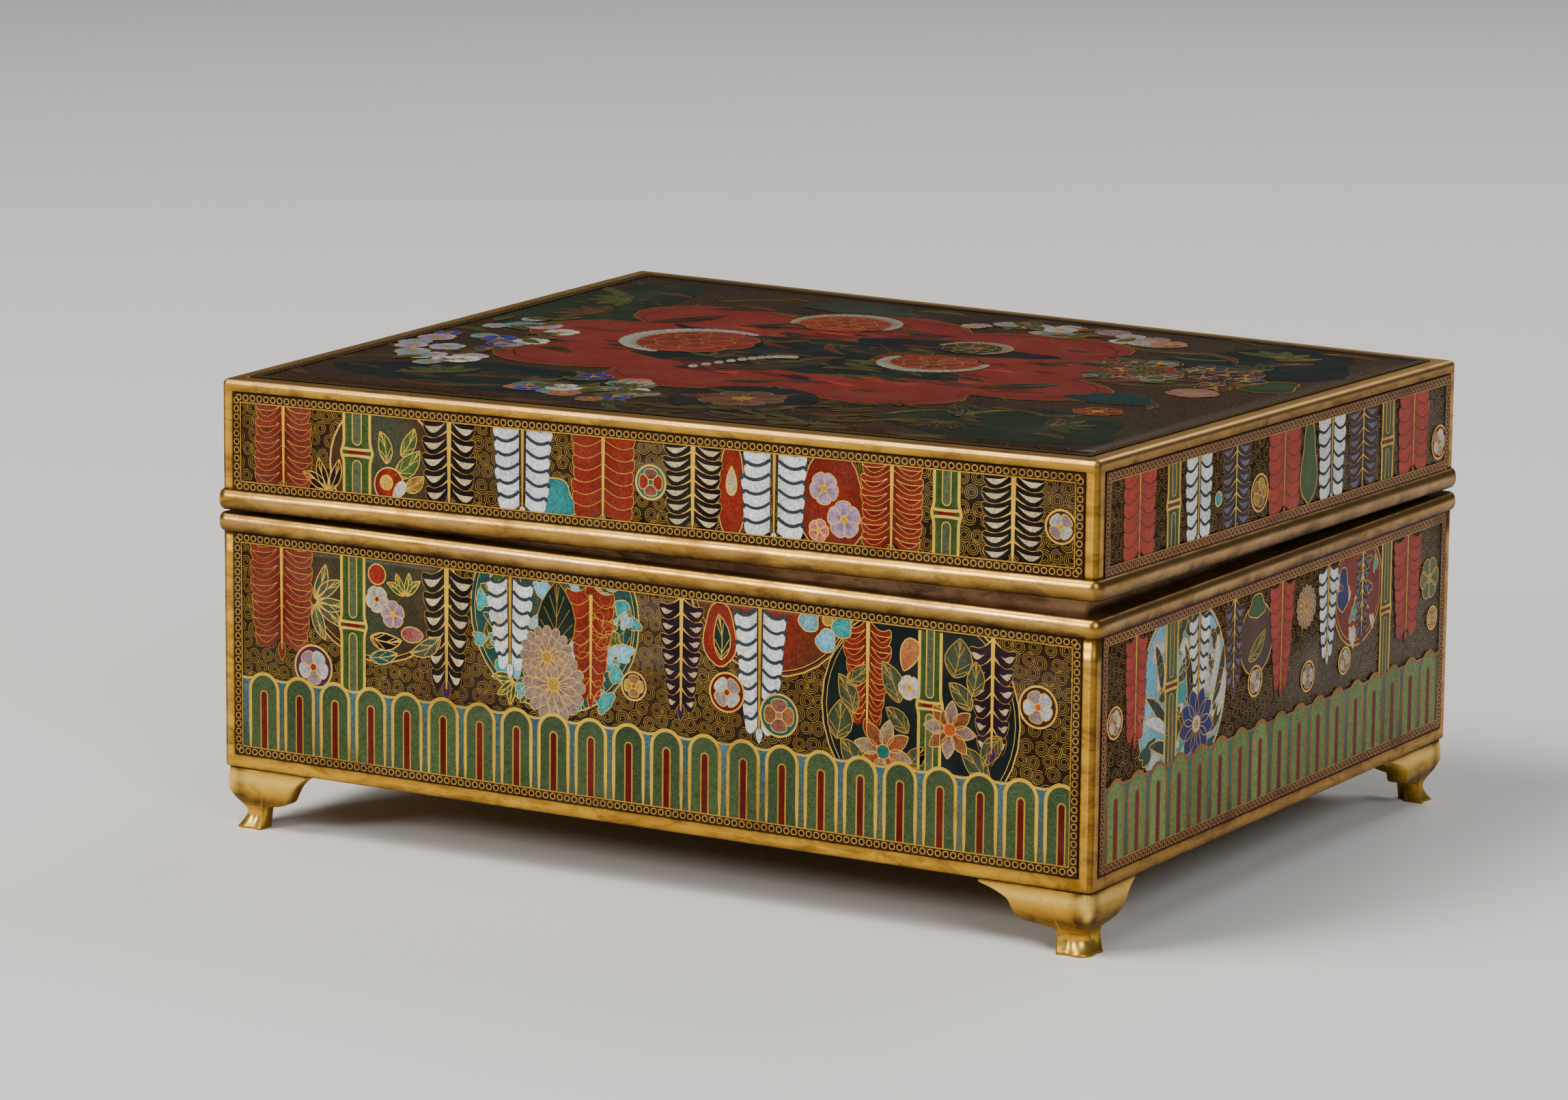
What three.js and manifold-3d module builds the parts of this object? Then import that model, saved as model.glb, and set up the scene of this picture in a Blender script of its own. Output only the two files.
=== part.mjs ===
// A footed cloisonne enamel box with a lift-off lid.
// Gilt copper base and lid, fused enamel panels let into them, a bead moulding on each rim,
// an upright collar that the lid closes over, and four cast bracket feet.
// Millimetres, +Z up, X along the front, the front face towards -Y.
// The origin is on the ground under the middle of the box.

import * as THREE from 'three';
import { mergeVertices } from 'three/addons/utils/BufferGeometryUtils.js';
import { TessellateModifier } from 'three/addons/modifiers/TessellateModifier.js';
import Module from 'manifold-3d';

const wasm = await Module();
wasm.setup();

// Driving dimensions
const LENGTH = 126; // outside of the body along X
const DEPTH = 101; // outside of the body along Y
const CORNER_R = 0.7; // rounding of the upright corners
const FOOT_H = 8.1; // ground to the underside of the body
const BASE_H = 30.8; // body, underside to the foot of its bead
const LID_H = 14.2; // lid, top of its bead to its top edge
const BASE_BEAD_H = 2.4;
const LID_BEAD_H = 2.6;
const BEAD_PROUD = 0.7; // how far a bead stands out from the walls
const PARTING = 0.4; // open line between the two beads where the lid sits down
const WALL = 2.2;
const FLOOR = 1.6;
const TOP = 2.2;
const SEAM = 0.06; // hairline between pieces that are fused or soldered together

// Gilt strips left around the enamel, and the enamel itself
const STRIP = 1.8;
const LID_STRIP = 1.6; // under the lid's top edge
const TOP_STRIP = 1.7; // around the lid's top panel
const ENAMEL_T = 0.6;
const RECESS = 0.8; // depth of the seats that hold the enamel
const EDGE_R = 0.7; // rounding of the lid's top edge

// Collar
const COLLAR_T = 1.0;
const COLLAR_UP = 3.4; // above the base bead
const COLLAR_DOWN = 7; // inside the base
const COLLAR_GAP = 0.25; // clear of the walls

// Feet, one casting used four times
const LONG_WING = 15.5;
const SHORT_WING = 12.3;
const LEG_W = 5.2;
const FOOT_BACK = 3.4; // inner face, measured in from the body's walls
const FOOT_TOP_SET = 0.45; // how far each level is set in from the walls
const FOOT_BELLY_SET = 0.25;
const FOOT_NECK_SET = 1.65;
const FOOT_TOE_SET = 0.4;
const BELLY_END = 2.4; // levels below the body's underside
const NECK_AT = 6.1;
const FOOT_RIDGE_R = 0.5;
const TOE_ROUND = 1.0; // extra rounding of the corner at the toe
const LEG_PINCH = 0.12; // narrowing of the leg at the neck
const FOOT_LEVELS = 10;

// The lid is sprung: it sits down at two opposite corners and is lifted at the other two.
const LIFT = { frontLeft: 0, frontRight: 1.7, backRight: 0.2, backLeft: 1.9 };
const LONGEST_EDGE = 28; // mesh edge on the broad faces that still follows the twist

const BASE_TOP = FOOT_H + BASE_H;
const BASE_BEAD_Z = BASE_TOP + SEAM;
const RIM_Z = BASE_BEAD_Z + BASE_BEAD_H;
const LID_BEAD_Z = RIM_Z + PARTING;
const LID_Z = LID_BEAD_Z + LID_BEAD_H + SEAM;
const LID_TOP = LID_Z + LID_H;

const GILT = { color: 0xb58a3a, roughness: 0.38, metalness: 1 };
const DULL_GILT = { color: 0x7d5a2c, roughness: 0.55, metalness: 1 };
const ENAMEL = { color: 0x4a3a22, roughness: 0.3, metalness: 0 };

const group = new THREE.Group();

function add(name, geometry, look, place = {}) {
  const mesh = new THREE.Mesh(geometry, new THREE.MeshStandardMaterial(look));
  mesh.name = name;
  mesh.position.set(place.x ?? 0, place.y ?? 0, place.z ?? 0);
  mesh.rotation.z = place.turn ?? 0;
  group.add(mesh);
}

// Only positions, with shared vertices joined and flat slivers dropped.
function welded(geometry) {
  const bare = new THREE.BufferGeometry();
  bare.setAttribute('position', geometry.getAttribute('position').clone());
  if (geometry.index) bare.setIndex(geometry.index.clone());
  const joined = mergeVertices(bare, 1e-4);
  const corners = joined.index.array;
  const kept = [];
  for (let i = 0; i < corners.length; i += 3) {
    const [a, b, c] = [corners[i], corners[i + 1], corners[i + 2]];
    if (a !== b && b !== c && c !== a) kept.push(a, b, c);
  }
  joined.setIndex(kept);
  return joined;
}

function solid(geometry) {
  const joined = welded(geometry);
  return new wasm.Manifold(new wasm.Mesh({
    numProp: 3,
    vertProperties: new Float32Array(joined.getAttribute('position').array),
    triVerts: new Uint32Array(joined.index.array),
  }));
}

function surface(manifold) {
  const mesh = manifold.getMesh();
  const geometry = new THREE.BufferGeometry();
  geometry.setAttribute('position', new THREE.BufferAttribute(mesh.vertProperties, 3));
  geometry.setIndex(new THREE.BufferAttribute(mesh.triVerts, 1));
  return geometry;
}

// Height added to the lid at a place on the plan: straight along each side,
// and blended between the four corners.
function liftAt(x, y) {
  const u = x / LENGTH + 0.5;
  const v = y / DEPTH + 0.5;
  const front = THREE.MathUtils.lerp(LIFT.frontLeft, LIFT.frontRight, u);
  const back = THREE.MathUtils.lerp(LIFT.backLeft, LIFT.backRight, u);
  return THREE.MathUtils.lerp(front, back, v);
}

function sprung(geometry, broad = false) {
  const joined = welded(geometry);
  const fine = broad ? welded(new TessellateModifier(LONGEST_EDGE, 12).modify(joined)) : joined;
  const at = fine.getAttribute('position');
  for (let i = 0; i < at.count; i += 1) {
    at.setZ(i, at.getZ(i) + liftAt(at.getX(i), at.getY(i)));
  }
  return fine;
}

// A rectangle of the plan with round corners, set in from the walls.
function plan(inset, radius, steps = 3) {
  const r = Math.max(radius, 0.05);
  const [halfX, halfY] = [LENGTH / 2 - inset - r, DEPTH / 2 - inset - r];
  const points = [];
  for (let corner = 0; corner < 4; corner += 1) {
    const cx = corner === 0 || corner === 3 ? halfX : -halfX;
    const cy = corner < 2 ? halfY : -halfY;
    for (let i = 0; i <= steps; i += 1) {
      const angle = (corner + i / steps) * Math.PI / 2;
      points.push([cx + r * Math.cos(angle), cy + r * Math.sin(angle)]);
    }
  }
  return points;
}

// A closed body through a stack of level outlines with equal numbers of points, from the
// lowest to the highest, with a flat face on each end.
function stacked(levels) {
  const count = levels[0].points.length;
  const positions = [];
  const faces = [];
  for (const level of levels) {
    for (const [x, y] of level.points) positions.push(x, y, level.z);
  }
  for (let row = 0; row + 1 < levels.length; row += 1) {
    for (let i = 0; i < count; i += 1) {
      const a = row * count + i;
      const b = row * count + (i + 1) % count;
      faces.push(a, b, b + count, a, b + count, a + count);
    }
  }
  const last = (levels.length - 1) * count;
  for (let i = 1; i + 1 < count; i += 1) {
    faces.push(0, i + 1, i, last, last + i, last + i + 1);
  }
  const geometry = new THREE.BufferGeometry();
  geometry.setAttribute('position', new THREE.Float32BufferAttribute(positions, 3));
  geometry.setIndex(faces);
  return geometry;
}

function prism(inset, radius, z0, z1) {
  const points = plan(inset, radius);
  return stacked([{ points, z: z0 }, { points, z: z1 }]);
}

function block(x0, x1, y0, y1, z0, z1) {
  const box = new THREE.BoxGeometry(x1 - x0, y1 - y0, z1 - z0);
  return box.translate((x0 + x1) / 2, (y0 + y1) / 2, (z0 + z1) / 2);
}

// The four upright sides: where each lies and which way its wall runs.
const SIDES = [
  { name: 'front', along: 'x', sign: -1 },
  { name: 'right', along: 'y', sign: 1 },
  { name: 'back', along: 'x', sign: 1 },
  { name: 'left', along: 'y', sign: -1 },
];

// A block let into one side, from depth `deep` to depth `shallow` below the wall's face.
function sideBlock(side, margin, shallow, deep, z0, z1) {
  const half = (side.along === 'x' ? LENGTH : DEPTH) / 2 - margin;
  const face = (side.along === 'x' ? DEPTH : LENGTH) / 2;
  const depths = [side.sign * (face - deep), side.sign * (face - shallow)];
  const [d0, d1] = depths.sort((a, b) => a - b);
  if (side.along === 'x') return block(-half, half, d0, d1, z0, z1);
  return block(d0, d1, -half, half, z0, z1);
}

// A bead: a half-round moulding carried round the rim, flat on its inner face.
function bead(z, height, inner) {
  const arc = 8;
  const profile = [[inner, 0], [inner, height]];
  for (let i = 0; i <= arc; i += 1) {
    const angle = Math.PI * (0.5 - i / arc);
    profile.push([-BEAD_PROUD * Math.cos(angle), height / 2 * (1 + Math.sin(angle))]);
  }
  const paths = profile.map(([inset, up]) => (
    { points: plan(inset, CORNER_R + Math.max(-inset, 0), 4), z: z + up }));
  const count = paths[0].points.length;
  const positions = [];
  const faces = [];
  for (const path of paths) {
    for (const [x, y] of path.points) positions.push(x, y, path.z);
  }
  for (let row = 0; row < paths.length; row += 1) {
    const next = (row + 1) % paths.length;
    for (let i = 0; i < count; i += 1) {
      const j = (i + 1) % count;
      const [a, b, c, d] = [row * count + i, row * count + j, next * count + j, next * count + i];
      faces.push(a, c, b, a, d, c);
    }
  }
  const geometry = new THREE.BufferGeometry();
  geometry.setAttribute('position', new THREE.Float32BufferAttribute(positions, 3));
  geometry.setIndex(faces);
  return geometry;
}

function baseBody() {
  let body = solid(prism(0, CORNER_R, FOOT_H, BASE_TOP));
  body = body.subtract(solid(prism(WALL, 0.4, FOOT_H + FLOOR, BASE_TOP + 1)));
  for (const side of SIDES) {
    const seat = sideBlock(side, STRIP, -1, RECESS, FOOT_H + STRIP, BASE_TOP + 1);
    body = body.subtract(solid(seat));
  }
  return surface(body);
}

function lidBody() {
  const levels = [{ points: plan(0, CORNER_R), z: LID_Z }];
  const steps = 3;
  for (let i = 0; i <= steps; i += 1) {
    const angle = i / steps * Math.PI / 2;
    const inset = EDGE_R * (1 - Math.cos(angle));
    const z = LID_TOP - EDGE_R * (1 - Math.sin(angle));
    levels.push({ points: plan(inset, CORNER_R - inset * 0.8), z });
  }
  let body = solid(stacked(levels));
  body = body.subtract(solid(prism(WALL, 0.4, LID_Z - 1, LID_TOP - TOP)));
  for (const side of SIDES) {
    const seat = sideBlock(side, STRIP, -1, RECESS, LID_Z - 1, LID_TOP - LID_STRIP);
    body = body.subtract(solid(seat));
  }
  const [seatX, seatY] = [LENGTH / 2 - EDGE_R - TOP_STRIP, DEPTH / 2 - EDGE_R - TOP_STRIP];
  const topSeat = block(-seatX, seatX, -seatY, seatY, LID_TOP - RECESS, LID_TOP + 1);
  return sprung(surface(body.subtract(solid(topSeat))), true);
}

function basePanel(side) {
  const [z0, z1] = [FOOT_H + STRIP + SEAM, BASE_TOP];
  return sideBlock(side, STRIP + SEAM, SEAM, ENAMEL_T, z0, z1);
}

function lidPanel(side) {
  const [z0, z1] = [LID_Z, LID_TOP - LID_STRIP - SEAM];
  return sprung(sideBlock(side, STRIP + SEAM, SEAM, ENAMEL_T, z0, z1));
}

function topPanel() {
  const halfX = LENGTH / 2 - EDGE_R - TOP_STRIP - SEAM;
  const halfY = DEPTH / 2 - EDGE_R - TOP_STRIP - SEAM;
  const [z0, z1] = [LID_TOP - ENAMEL_T, LID_TOP - SEAM];
  return sprung(block(-halfX, halfX, -halfY, halfY, z0, z1), true);
}

function collar() {
  const [z0, z1] = [BASE_TOP - COLLAR_DOWN, RIM_Z + COLLAR_UP];
  const outer = solid(prism(WALL + COLLAR_GAP, 0.4, z0, z1));
  const inner = solid(prism(WALL + COLLAR_GAP + COLLAR_T, 0.3, z0 - 1, z1 + 1));
  return surface(outer.subtract(inner));
}

// How far the foot's outer face is set in from the walls at a level below the body:
// a swelling belly, a hollow neck and a toe that flares out again.
function footSet(level) {
  if (level < BELLY_END) {
    const swell = Math.sin(level / BELLY_END * Math.PI / 2);
    return THREE.MathUtils.lerp(FOOT_TOP_SET, FOOT_BELLY_SET, swell);
  }
  if (level < NECK_AT) {
    const t = THREE.MathUtils.smoothstep(level, BELLY_END, NECK_AT);
    return THREE.MathUtils.lerp(FOOT_BELLY_SET, FOOT_NECK_SET, t);
  }
  const t = (level - NECK_AT) / (FOOT_H - SEAM - NECK_AT);
  return THREE.MathUtils.lerp(FOOT_NECK_SET, FOOT_TOE_SET, t ** 1.6);
}

function neckShare(level) {
  return (footSet(level) - FOOT_BELLY_SET) / (FOOT_NECK_SET - FOOT_BELLY_SET);
}

// Lower edge of a wing: [distance from the corner, level below the body], from the tip
// inwards, an ogee with a cusp at the knee and a nearly level apron beside the leg.
function wingEdge(tip) {
  const knee = 10.2 + (tip - SHORT_WING) * 0.4;
  return [
    [tip, 0.4],
    [(tip + knee) / 2, 0.95],
    [knee, 1.9],
    [knee - 0.7, 3.1],
    [knee - 1.4, 4.3],
    [7.4, 4.75],
    [LEG_W + 0.5, 5.05],
    [LEG_W + 0.1, 5.5],
  ];
}

// A bracket foot for the front right corner, with the body's corner edge at the local
// origin, the long wing along -X and the short wing along +Y. Each section across the
// wall is a closed outline, and the sections are carried from one tip to the other.
function foot() {
  const full = FOOT_H - SEAM;
  const legStops = [LEG_W, 3.4];
  const sections = [
    ...wingEdge(LONG_WING).map(([s, deep]) => ({ wing: 'long', s, deep })),
    ...legStops.map((s) => ({ wing: 'long', s, deep: full })),
    ...[0, 22.5, 45, 67.5, 90].map((turn) => ({ wing: 'corner', turn, deep: full })),
    ...legStops.reverse().map((s) => ({ wing: 'short', s, deep: full })),
    ...wingEdge(SHORT_WING).reverse().map(([s, deep]) => ({ wing: 'short', s, deep })),
  ];
  const place = (section, set, level) => {
    if (section.wing === 'corner') {
      const r = FOOT_RIDGE_R + TOE_ROUND * THREE.MathUtils.smoothstep(level, NECK_AT, full);
      const angle = THREE.MathUtils.degToRad(section.turn);
      return [-set - r + r * Math.sin(angle), set + r - r * Math.cos(angle)];
    }
    const leg = section.s <= LEG_W;
    const s = section.s * (leg ? 1 - LEG_PINCH * neckShare(level) : 1);
    return section.wing === 'long' ? [-s, set] : [-set, s];
  };
  const positions = [];
  const count = FOOT_LEVELS + 3;
  for (const section of sections) {
    for (let i = 0; i <= FOOT_LEVELS; i += 1) {
      const level = section.deep * i / FOOT_LEVELS;
      const [x, y] = place(section, footSet(level), level);
      positions.push(x, y, -level);
    }
    for (const level of [section.deep, 0]) {
      const s = section.wing === 'corner' ? FOOT_BACK : section.s;
      const pinch = section.s <= LEG_W ? 1 - LEG_PINCH * neckShare(level) : 1;
      const reach = Math.max(s * pinch, FOOT_BACK);
      const backLong = [-reach, FOOT_BACK, -level];
      const backShort = [-FOOT_BACK, reach, -level];
      positions.push(...(section.wing === 'short' ? backShort : backLong));
    }
  }
  const faces = [];
  for (let k = 0; k + 1 < sections.length; k += 1) {
    for (let i = 0; i < count; i += 1) {
      const a = k * count + i;
      const b = k * count + (i + 1) % count;
      faces.push(a, b, b + count, a, b + count, a + count);
    }
  }
  const [first, last] = [count - 1, sections.length * count - 1];
  for (let i = 0; i + 2 < count; i += 1) {
    const j = last - count + 1 + i;
    faces.push(first, i + 1, i, last, j, j + 1);
  }
  const geometry = new THREE.BufferGeometry();
  geometry.setAttribute('position', new THREE.Float32BufferAttribute(positions, 3));
  geometry.setIndex(faces);
  return welded(geometry);
}

add('base_body', baseBody(), GILT);
for (const side of SIDES) add(`base_panel_${side.name}`, basePanel(side), ENAMEL);
add('base_bead', welded(bead(BASE_BEAD_Z, BASE_BEAD_H, WALL)), GILT);
add('collar', collar(), DULL_GILT);
add('lid_bead', sprung(bead(LID_BEAD_Z, LID_BEAD_H, WALL)), GILT);
add('lid_body', lidBody(), GILT);
for (const side of SIDES) add(`lid_panel_${side.name}`, lidPanel(side), ENAMEL);
add('lid_panel_top', topPanel(), ENAMEL);

const CORNERS = [
  { name: 'foot_front_right', x: 1, y: -1, turn: 0 },
  { name: 'foot_back_right', x: 1, y: 1, turn: Math.PI / 2 },
  { name: 'foot_back_left', x: -1, y: 1, turn: Math.PI },
  { name: 'foot_front_left', x: -1, y: -1, turn: -Math.PI / 2 },
];
for (const corner of CORNERS) {
  add(corner.name, foot(), GILT, {
    x: corner.x * LENGTH / 2,
    y: corner.y * DEPTH / 2,
    z: FOOT_H - SEAM,
    turn: corner.turn,
  });
}

export default group;
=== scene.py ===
"""A footed cloisonne enamel box with a lift-off lid: gilt copper frames, beads and bracket feet,
and fused enamel pictures of hanging wisteria, bamboo, blossom and roundels laid in gilt wire.

Shapes are worked out in millimetres and become metres when they are put into a mesh.
"""

import math

import bpy
import numpy as np
from mathutils import Matrix, Vector


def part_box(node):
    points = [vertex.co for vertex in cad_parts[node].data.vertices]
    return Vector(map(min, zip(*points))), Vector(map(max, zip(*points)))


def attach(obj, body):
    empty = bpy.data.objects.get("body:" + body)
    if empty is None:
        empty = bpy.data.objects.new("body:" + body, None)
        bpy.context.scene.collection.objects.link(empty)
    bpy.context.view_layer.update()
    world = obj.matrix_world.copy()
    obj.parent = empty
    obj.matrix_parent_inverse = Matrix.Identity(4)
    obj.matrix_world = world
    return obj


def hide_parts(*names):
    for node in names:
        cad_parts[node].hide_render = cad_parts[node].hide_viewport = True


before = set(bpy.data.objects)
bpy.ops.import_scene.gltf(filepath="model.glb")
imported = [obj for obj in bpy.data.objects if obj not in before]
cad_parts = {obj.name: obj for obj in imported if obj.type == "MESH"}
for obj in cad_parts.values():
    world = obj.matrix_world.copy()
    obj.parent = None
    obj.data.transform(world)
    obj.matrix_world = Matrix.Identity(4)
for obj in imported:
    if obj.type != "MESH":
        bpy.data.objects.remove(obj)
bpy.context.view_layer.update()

MM = 0.001

# ---------------------------------------------------------------- camera

LOOK_TURN = 30.45  # degrees from the front towards the right
LOOK_DOWN = 10.91
LOOK_ROLL = 0.56
CAMERA_PLACE = (0.3818, -0.6653, 0.1827)
FOCAL = 138.0
SENSOR = 36.0


def make_camera():
    """A long lens a little above the lid, looking at the near right corner."""
    turn, down = math.radians(LOOK_TURN), math.radians(LOOK_DOWN)
    ahead = Vector((
        -math.sin(turn) * math.cos(down),
        math.cos(turn) * math.cos(down),
        -math.sin(down),
    ))
    data = bpy.data.cameras.new("camera")
    data.lens = FOCAL
    data.sensor_width = SENSOR
    data.clip_start, data.clip_end = 0.05, 20
    camera = bpy.data.objects.new("camera", data)
    bpy.context.scene.collection.objects.link(camera)
    camera.location = CAMERA_PLACE
    camera.rotation_mode = "QUATERNION"
    level = ahead.to_track_quat("-Z", "Y")
    camera.rotation_quaternion = level @ Matrix.Rotation(
        math.radians(LOOK_ROLL), 3, "Z").to_quaternion()
    bpy.context.scene.camera = camera


make_camera()

# ---------------------------------------------------------------- sizes, from the frame


def node_box(name):
    """Lowest and highest corner of a CAD node, in millimetres."""
    low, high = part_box(name)
    return np.array(low) / MM, np.array(high) / MM


BODY_LOW, BODY_HIGH = node_box("base_body")
LENGTH, DEPTH = (BODY_HIGH - BODY_LOW)[:2]
BODY_Z, BASE_TOP = BODY_LOW[2], BODY_HIGH[2]
BASE_BEAD_Z, RIM_Z = node_box("base_bead")[0][2], node_box("base_bead")[1][2]
BEAD_PROUD = node_box("base_bead")[1][0] - LENGTH / 2
LID_BEAD_Z = node_box("lid_bead")[0][2]
LID_Z = node_box("lid_body")[0][2]
COLLAR_LOW, COLLAR_HIGH = node_box("collar")
PANEL_LOW, PANEL_HIGH = node_box("base_panel_front")

LID_H = 14.2
LID_TOP = LID_Z + LID_H
LID_BEAD_H = 2.6
CORNER_R = 0.7
EDGE_R = 0.7  # rounding of the lid's top edge
WALL = 2.2
FLOOR = 1.6
TOP = 2.2
RECESS = 0.74  # depth of the seats that the enamel lies in
ENAMEL_T = 0.6
FACE_SET = 0.06  # enamel face below the metal face
SEAM = 0.06
STRIP = 1.8
LID_STRIP = 1.6
TOP_STRIP = 1.7

LIFT_FRONT = (0.0, 1.7)  # how far the sprung lid stands up at the left and right corners
LIFT_BACK = (1.87, 0.2)


def lift(x, y):
    """Height of the sprung lid over its seat: straight along each side, blended between corners."""
    u, v = x / LENGTH + 0.5, y / DEPTH + 0.5
    front = LIFT_FRONT[0] + (LIFT_FRONT[1] - LIFT_FRONT[0]) * u
    back = LIFT_BACK[0] + (LIFT_BACK[1] - LIFT_BACK[0]) * u
    return front + (back - front) * v


# ---------------------------------------------------------------- meshes


def make_piece(name, points, faces, materials, kinds=None, smooth=True, tints=None, bake=None):
    """A piece from points in millimetres and faces as arrays of four (or three) point numbers.
    tints is a colour for each point: an enamel's colour, or a metal's (grime and painted shade,
    rubbing and painted highlight, painted highlight).
    bake is a place for each face corner on the map that the finish is baked to."""
    loops = np.concatenate([f.reshape(-1) for f in faces]).astype(np.int32)
    totals = np.concatenate([np.full(len(f), f.shape[1]) for f in faces]).astype(np.int32)
    starts = np.concatenate([[0], np.cumsum(totals)[:-1]]).astype(np.int32)
    mesh = bpy.data.meshes.new(name)
    mesh.vertices.add(len(points))
    mesh.loops.add(len(loops))
    mesh.polygons.add(len(totals))
    mesh.vertices.foreach_set("co", (np.asarray(points) * MM).astype(np.float32).ravel())
    mesh.loops.foreach_set("vertex_index", loops)
    mesh.polygons.foreach_set("loop_start", starts)
    mesh.polygons.foreach_set("loop_total", totals)
    if kinds is not None:
        mesh.polygons.foreach_set("material_index", np.asarray(kinds, np.int32))
    mesh.polygons.foreach_set("use_smooth", np.full(len(totals), smooth))
    for material in materials:
        mesh.materials.append(material)
    mesh.update(calc_edges=True)
    if tints is not None:
        layer = mesh.attributes.new("tint", "FLOAT_COLOR", "POINT")
        rgba = np.concatenate([tints, np.ones((len(tints), 1))], 1).astype(np.float32)
        layer.data.foreach_set("color", rgba.ravel())
    if bake is not None:
        layer = mesh.uv_layers.new(name="OFBake")
        layer.data.foreach_set("uv", np.asarray(bake, np.float32).ravel())
    mesh.validate(clean_customdata=False)
    piece = bpy.data.objects.new(name, mesh)
    bpy.context.scene.collection.objects.link(piece)
    return piece


def settle(piece, node):
    """The piece rides with the box and stands for its CAD node, which is hidden."""
    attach(piece, "root")
    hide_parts(node)


def grid_faces(rows, columns, closed_rows=False, closed_columns=False, first=0):
    """Four-cornered faces of a grid of points that runs row by row."""
    i = np.arange(rows if closed_rows else rows - 1)[:, None]
    j = np.arange(columns if closed_columns else columns - 1)[None, :]
    i2, j2 = (i + 1) % rows, (j + 1) % columns
    corners = np.stack(np.broadcast_arrays(
        i * columns + j, i * columns + j2, i2 * columns + j2, i2 * columns + j), -1)
    return corners.reshape(-1, 4) + first


def fan_faces(pole, ring, turned=False):
    """Three-cornered faces from one point to a closed ring of points."""
    around = np.roll(ring, -1)
    fan = np.stack([np.full(len(ring), pole), around, ring], 1)
    return fan[:, ::-1] if turned else fan


SIDE_OUT = np.array([[0, -1], [1, 0], [0, 1], [-1, 0]], float)  # front, right, back, left
SIDE_ALONG = np.roll(SIDE_OUT, -1, axis=0)
SIDE_HALF = np.array([LENGTH, DEPTH, LENGTH, DEPTH]) / 2
SIDE_REACH = np.roll(SIDE_HALF, -1)


def stations(margin_places, spacing=3.0):
    """Places along each side, as distances in from its ends, mirrored, with even ones between."""
    sides = []
    for half in SIDE_HALF:
        inner = half - CORNER_R
        ends = half - np.array(margin_places)
        even = np.linspace(-ends.min(), ends.min(), int(2 * ends.min() / spacing) + 1)[1:-1]
        places = np.unique(np.concatenate([-ends, even, ends, [-inner, inner]]))
        sides.append(places[np.abs(places) <= inner + 1e-9] / inner)
    return sides


ARC_POINTS = 6  # points on each round corner of the plan


def plan(inset, radius, sides):
    """The plan's outline set in from the walls, with round corners: anticlockwise from the front
    left. Returns the points, the way out at each, the distance from the middle of its side,
    and the side's half length, with corner points marked by a distance past the side's end."""
    points, outs, places, halves = [], [], [], []
    turn = np.linspace(0, np.pi / 2, ARC_POINTS + 2)[1:-1, None]
    for k in range(4):
        out, along = SIDE_OUT[k], SIDE_ALONG[k]
        half, reach = SIDE_HALF[k] - inset - radius, SIDE_REACH[k] - inset
        share = sides[k][:, None]
        points.append(out * reach + along * share * half)
        outs.append(np.broadcast_to(out, points[-1].shape))
        places.append(sides[k] * (SIDE_HALF[k] - CORNER_R))
        halves.append(np.full(len(sides[k]), SIDE_HALF[k]))
        centre = out * (reach - radius) + along * half
        way = out * np.cos(turn) + along * np.sin(turn)
        points.append(centre + radius * way)
        outs.append(way)
        places.append(np.full(ARC_POINTS, SIDE_HALF[k]))
        halves.append(np.full(ARC_POINTS, SIDE_HALF[k]))
    return tuple(np.concatenate(part) for part in (points, outs, places, halves))


def ripple(points, size, seed):
    """A smooth unevenness from -1 to 1: a sum of five waves in turned directions."""
    rng = np.random.default_rng(seed)
    total = np.zeros(points.shape[:-1])
    for _ in range(5):
        way = rng.normal(size=3)
        way *= rng.uniform(0.6, 1.6) / size / np.linalg.norm(way)
        total += np.sin(points @ way * 2 * np.pi + rng.uniform(0, 6.3))
    return total / 5


def near(value, at, reach):
    """1 where a value is at a place, falling smoothly to 0 a reach away."""
    return np.exp(-((value - at) / reach) ** 2)


def shell_wear(rows, sides, seat):
    """Grime along the lips of the enamel seats, a painted shadow line down the upright corners and
    painted rosy highlights next to it: (grime and painted shade, rubbing and painted highlight,
    nothing) for each point of a carried grid."""
    wear = []
    for inset, z, _ in rows:
        _, _, places, halves = plan(inset, CORNER_R, sides)
        ends, low, high = seat
        inside = np.minimum(halves - ends - np.abs(places), min(z - low, high - z))
        lip = np.clip(near(inside, 0.0, 0.22) * 1.1, 0, 1) if inset < 0.01 else 0 * places
        round_part = halves - np.abs(places) < 0.01
        # Painted shade: a dark line down the rounded upright corners.
        corner = np.where(round_part, 0.7, 0.0) if inset < 0.8 else 0 * places
        # Painted highlights: rosy lines on the strips next to the corners.
        corner_highlight = np.where((halves - np.abs(places) < CORNER_R + 0.05) & ~round_part, 0.6, 0.0)
        grime_and_shade = np.maximum(lip, corner * 0.8)
        wear.append(np.column_stack([grime_and_shade, corner_highlight * (inset < 0.8), 0 * places]))
    return np.array(wear)


def step_in(inside):
    """Depth of a seat by how far inside its edge a place is: a softly rounded lip, then the drop."""
    lip = 0.12 * (1 - np.sqrt(np.clip(1 - ((inside + 0.25) / 0.25) ** 2, 0, 1)))
    lip = np.where(inside < -0.25, 0, lip)
    return np.where(inside > 0.015, RECESS, lip)


LIP_PLACES = (-0.25, -0.17, -0.1, -0.04, 0.0, 0.03)  # distances inside a seat's edge


def carried(rows, sides, seat=None):
    """A profile carried round the plan. Each row is (inset, height, radius); a seat is
    (distance of its ends from the corners, its lowest height, its highest height)."""
    grid = []
    for inset, z, radius in rows:
        flat, outs, places, halves = plan(inset, radius, sides)
        if seat is not None and inset < 0.01:
            ends, low, high = seat
            inside = np.minimum(halves - ends - np.abs(places), min(z - low, high - z))
            flat = flat - outs * step_in(inside)[:, None]
        grid.append(np.column_stack([flat, np.full(len(flat), z)]))
    return np.array(grid)


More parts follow.
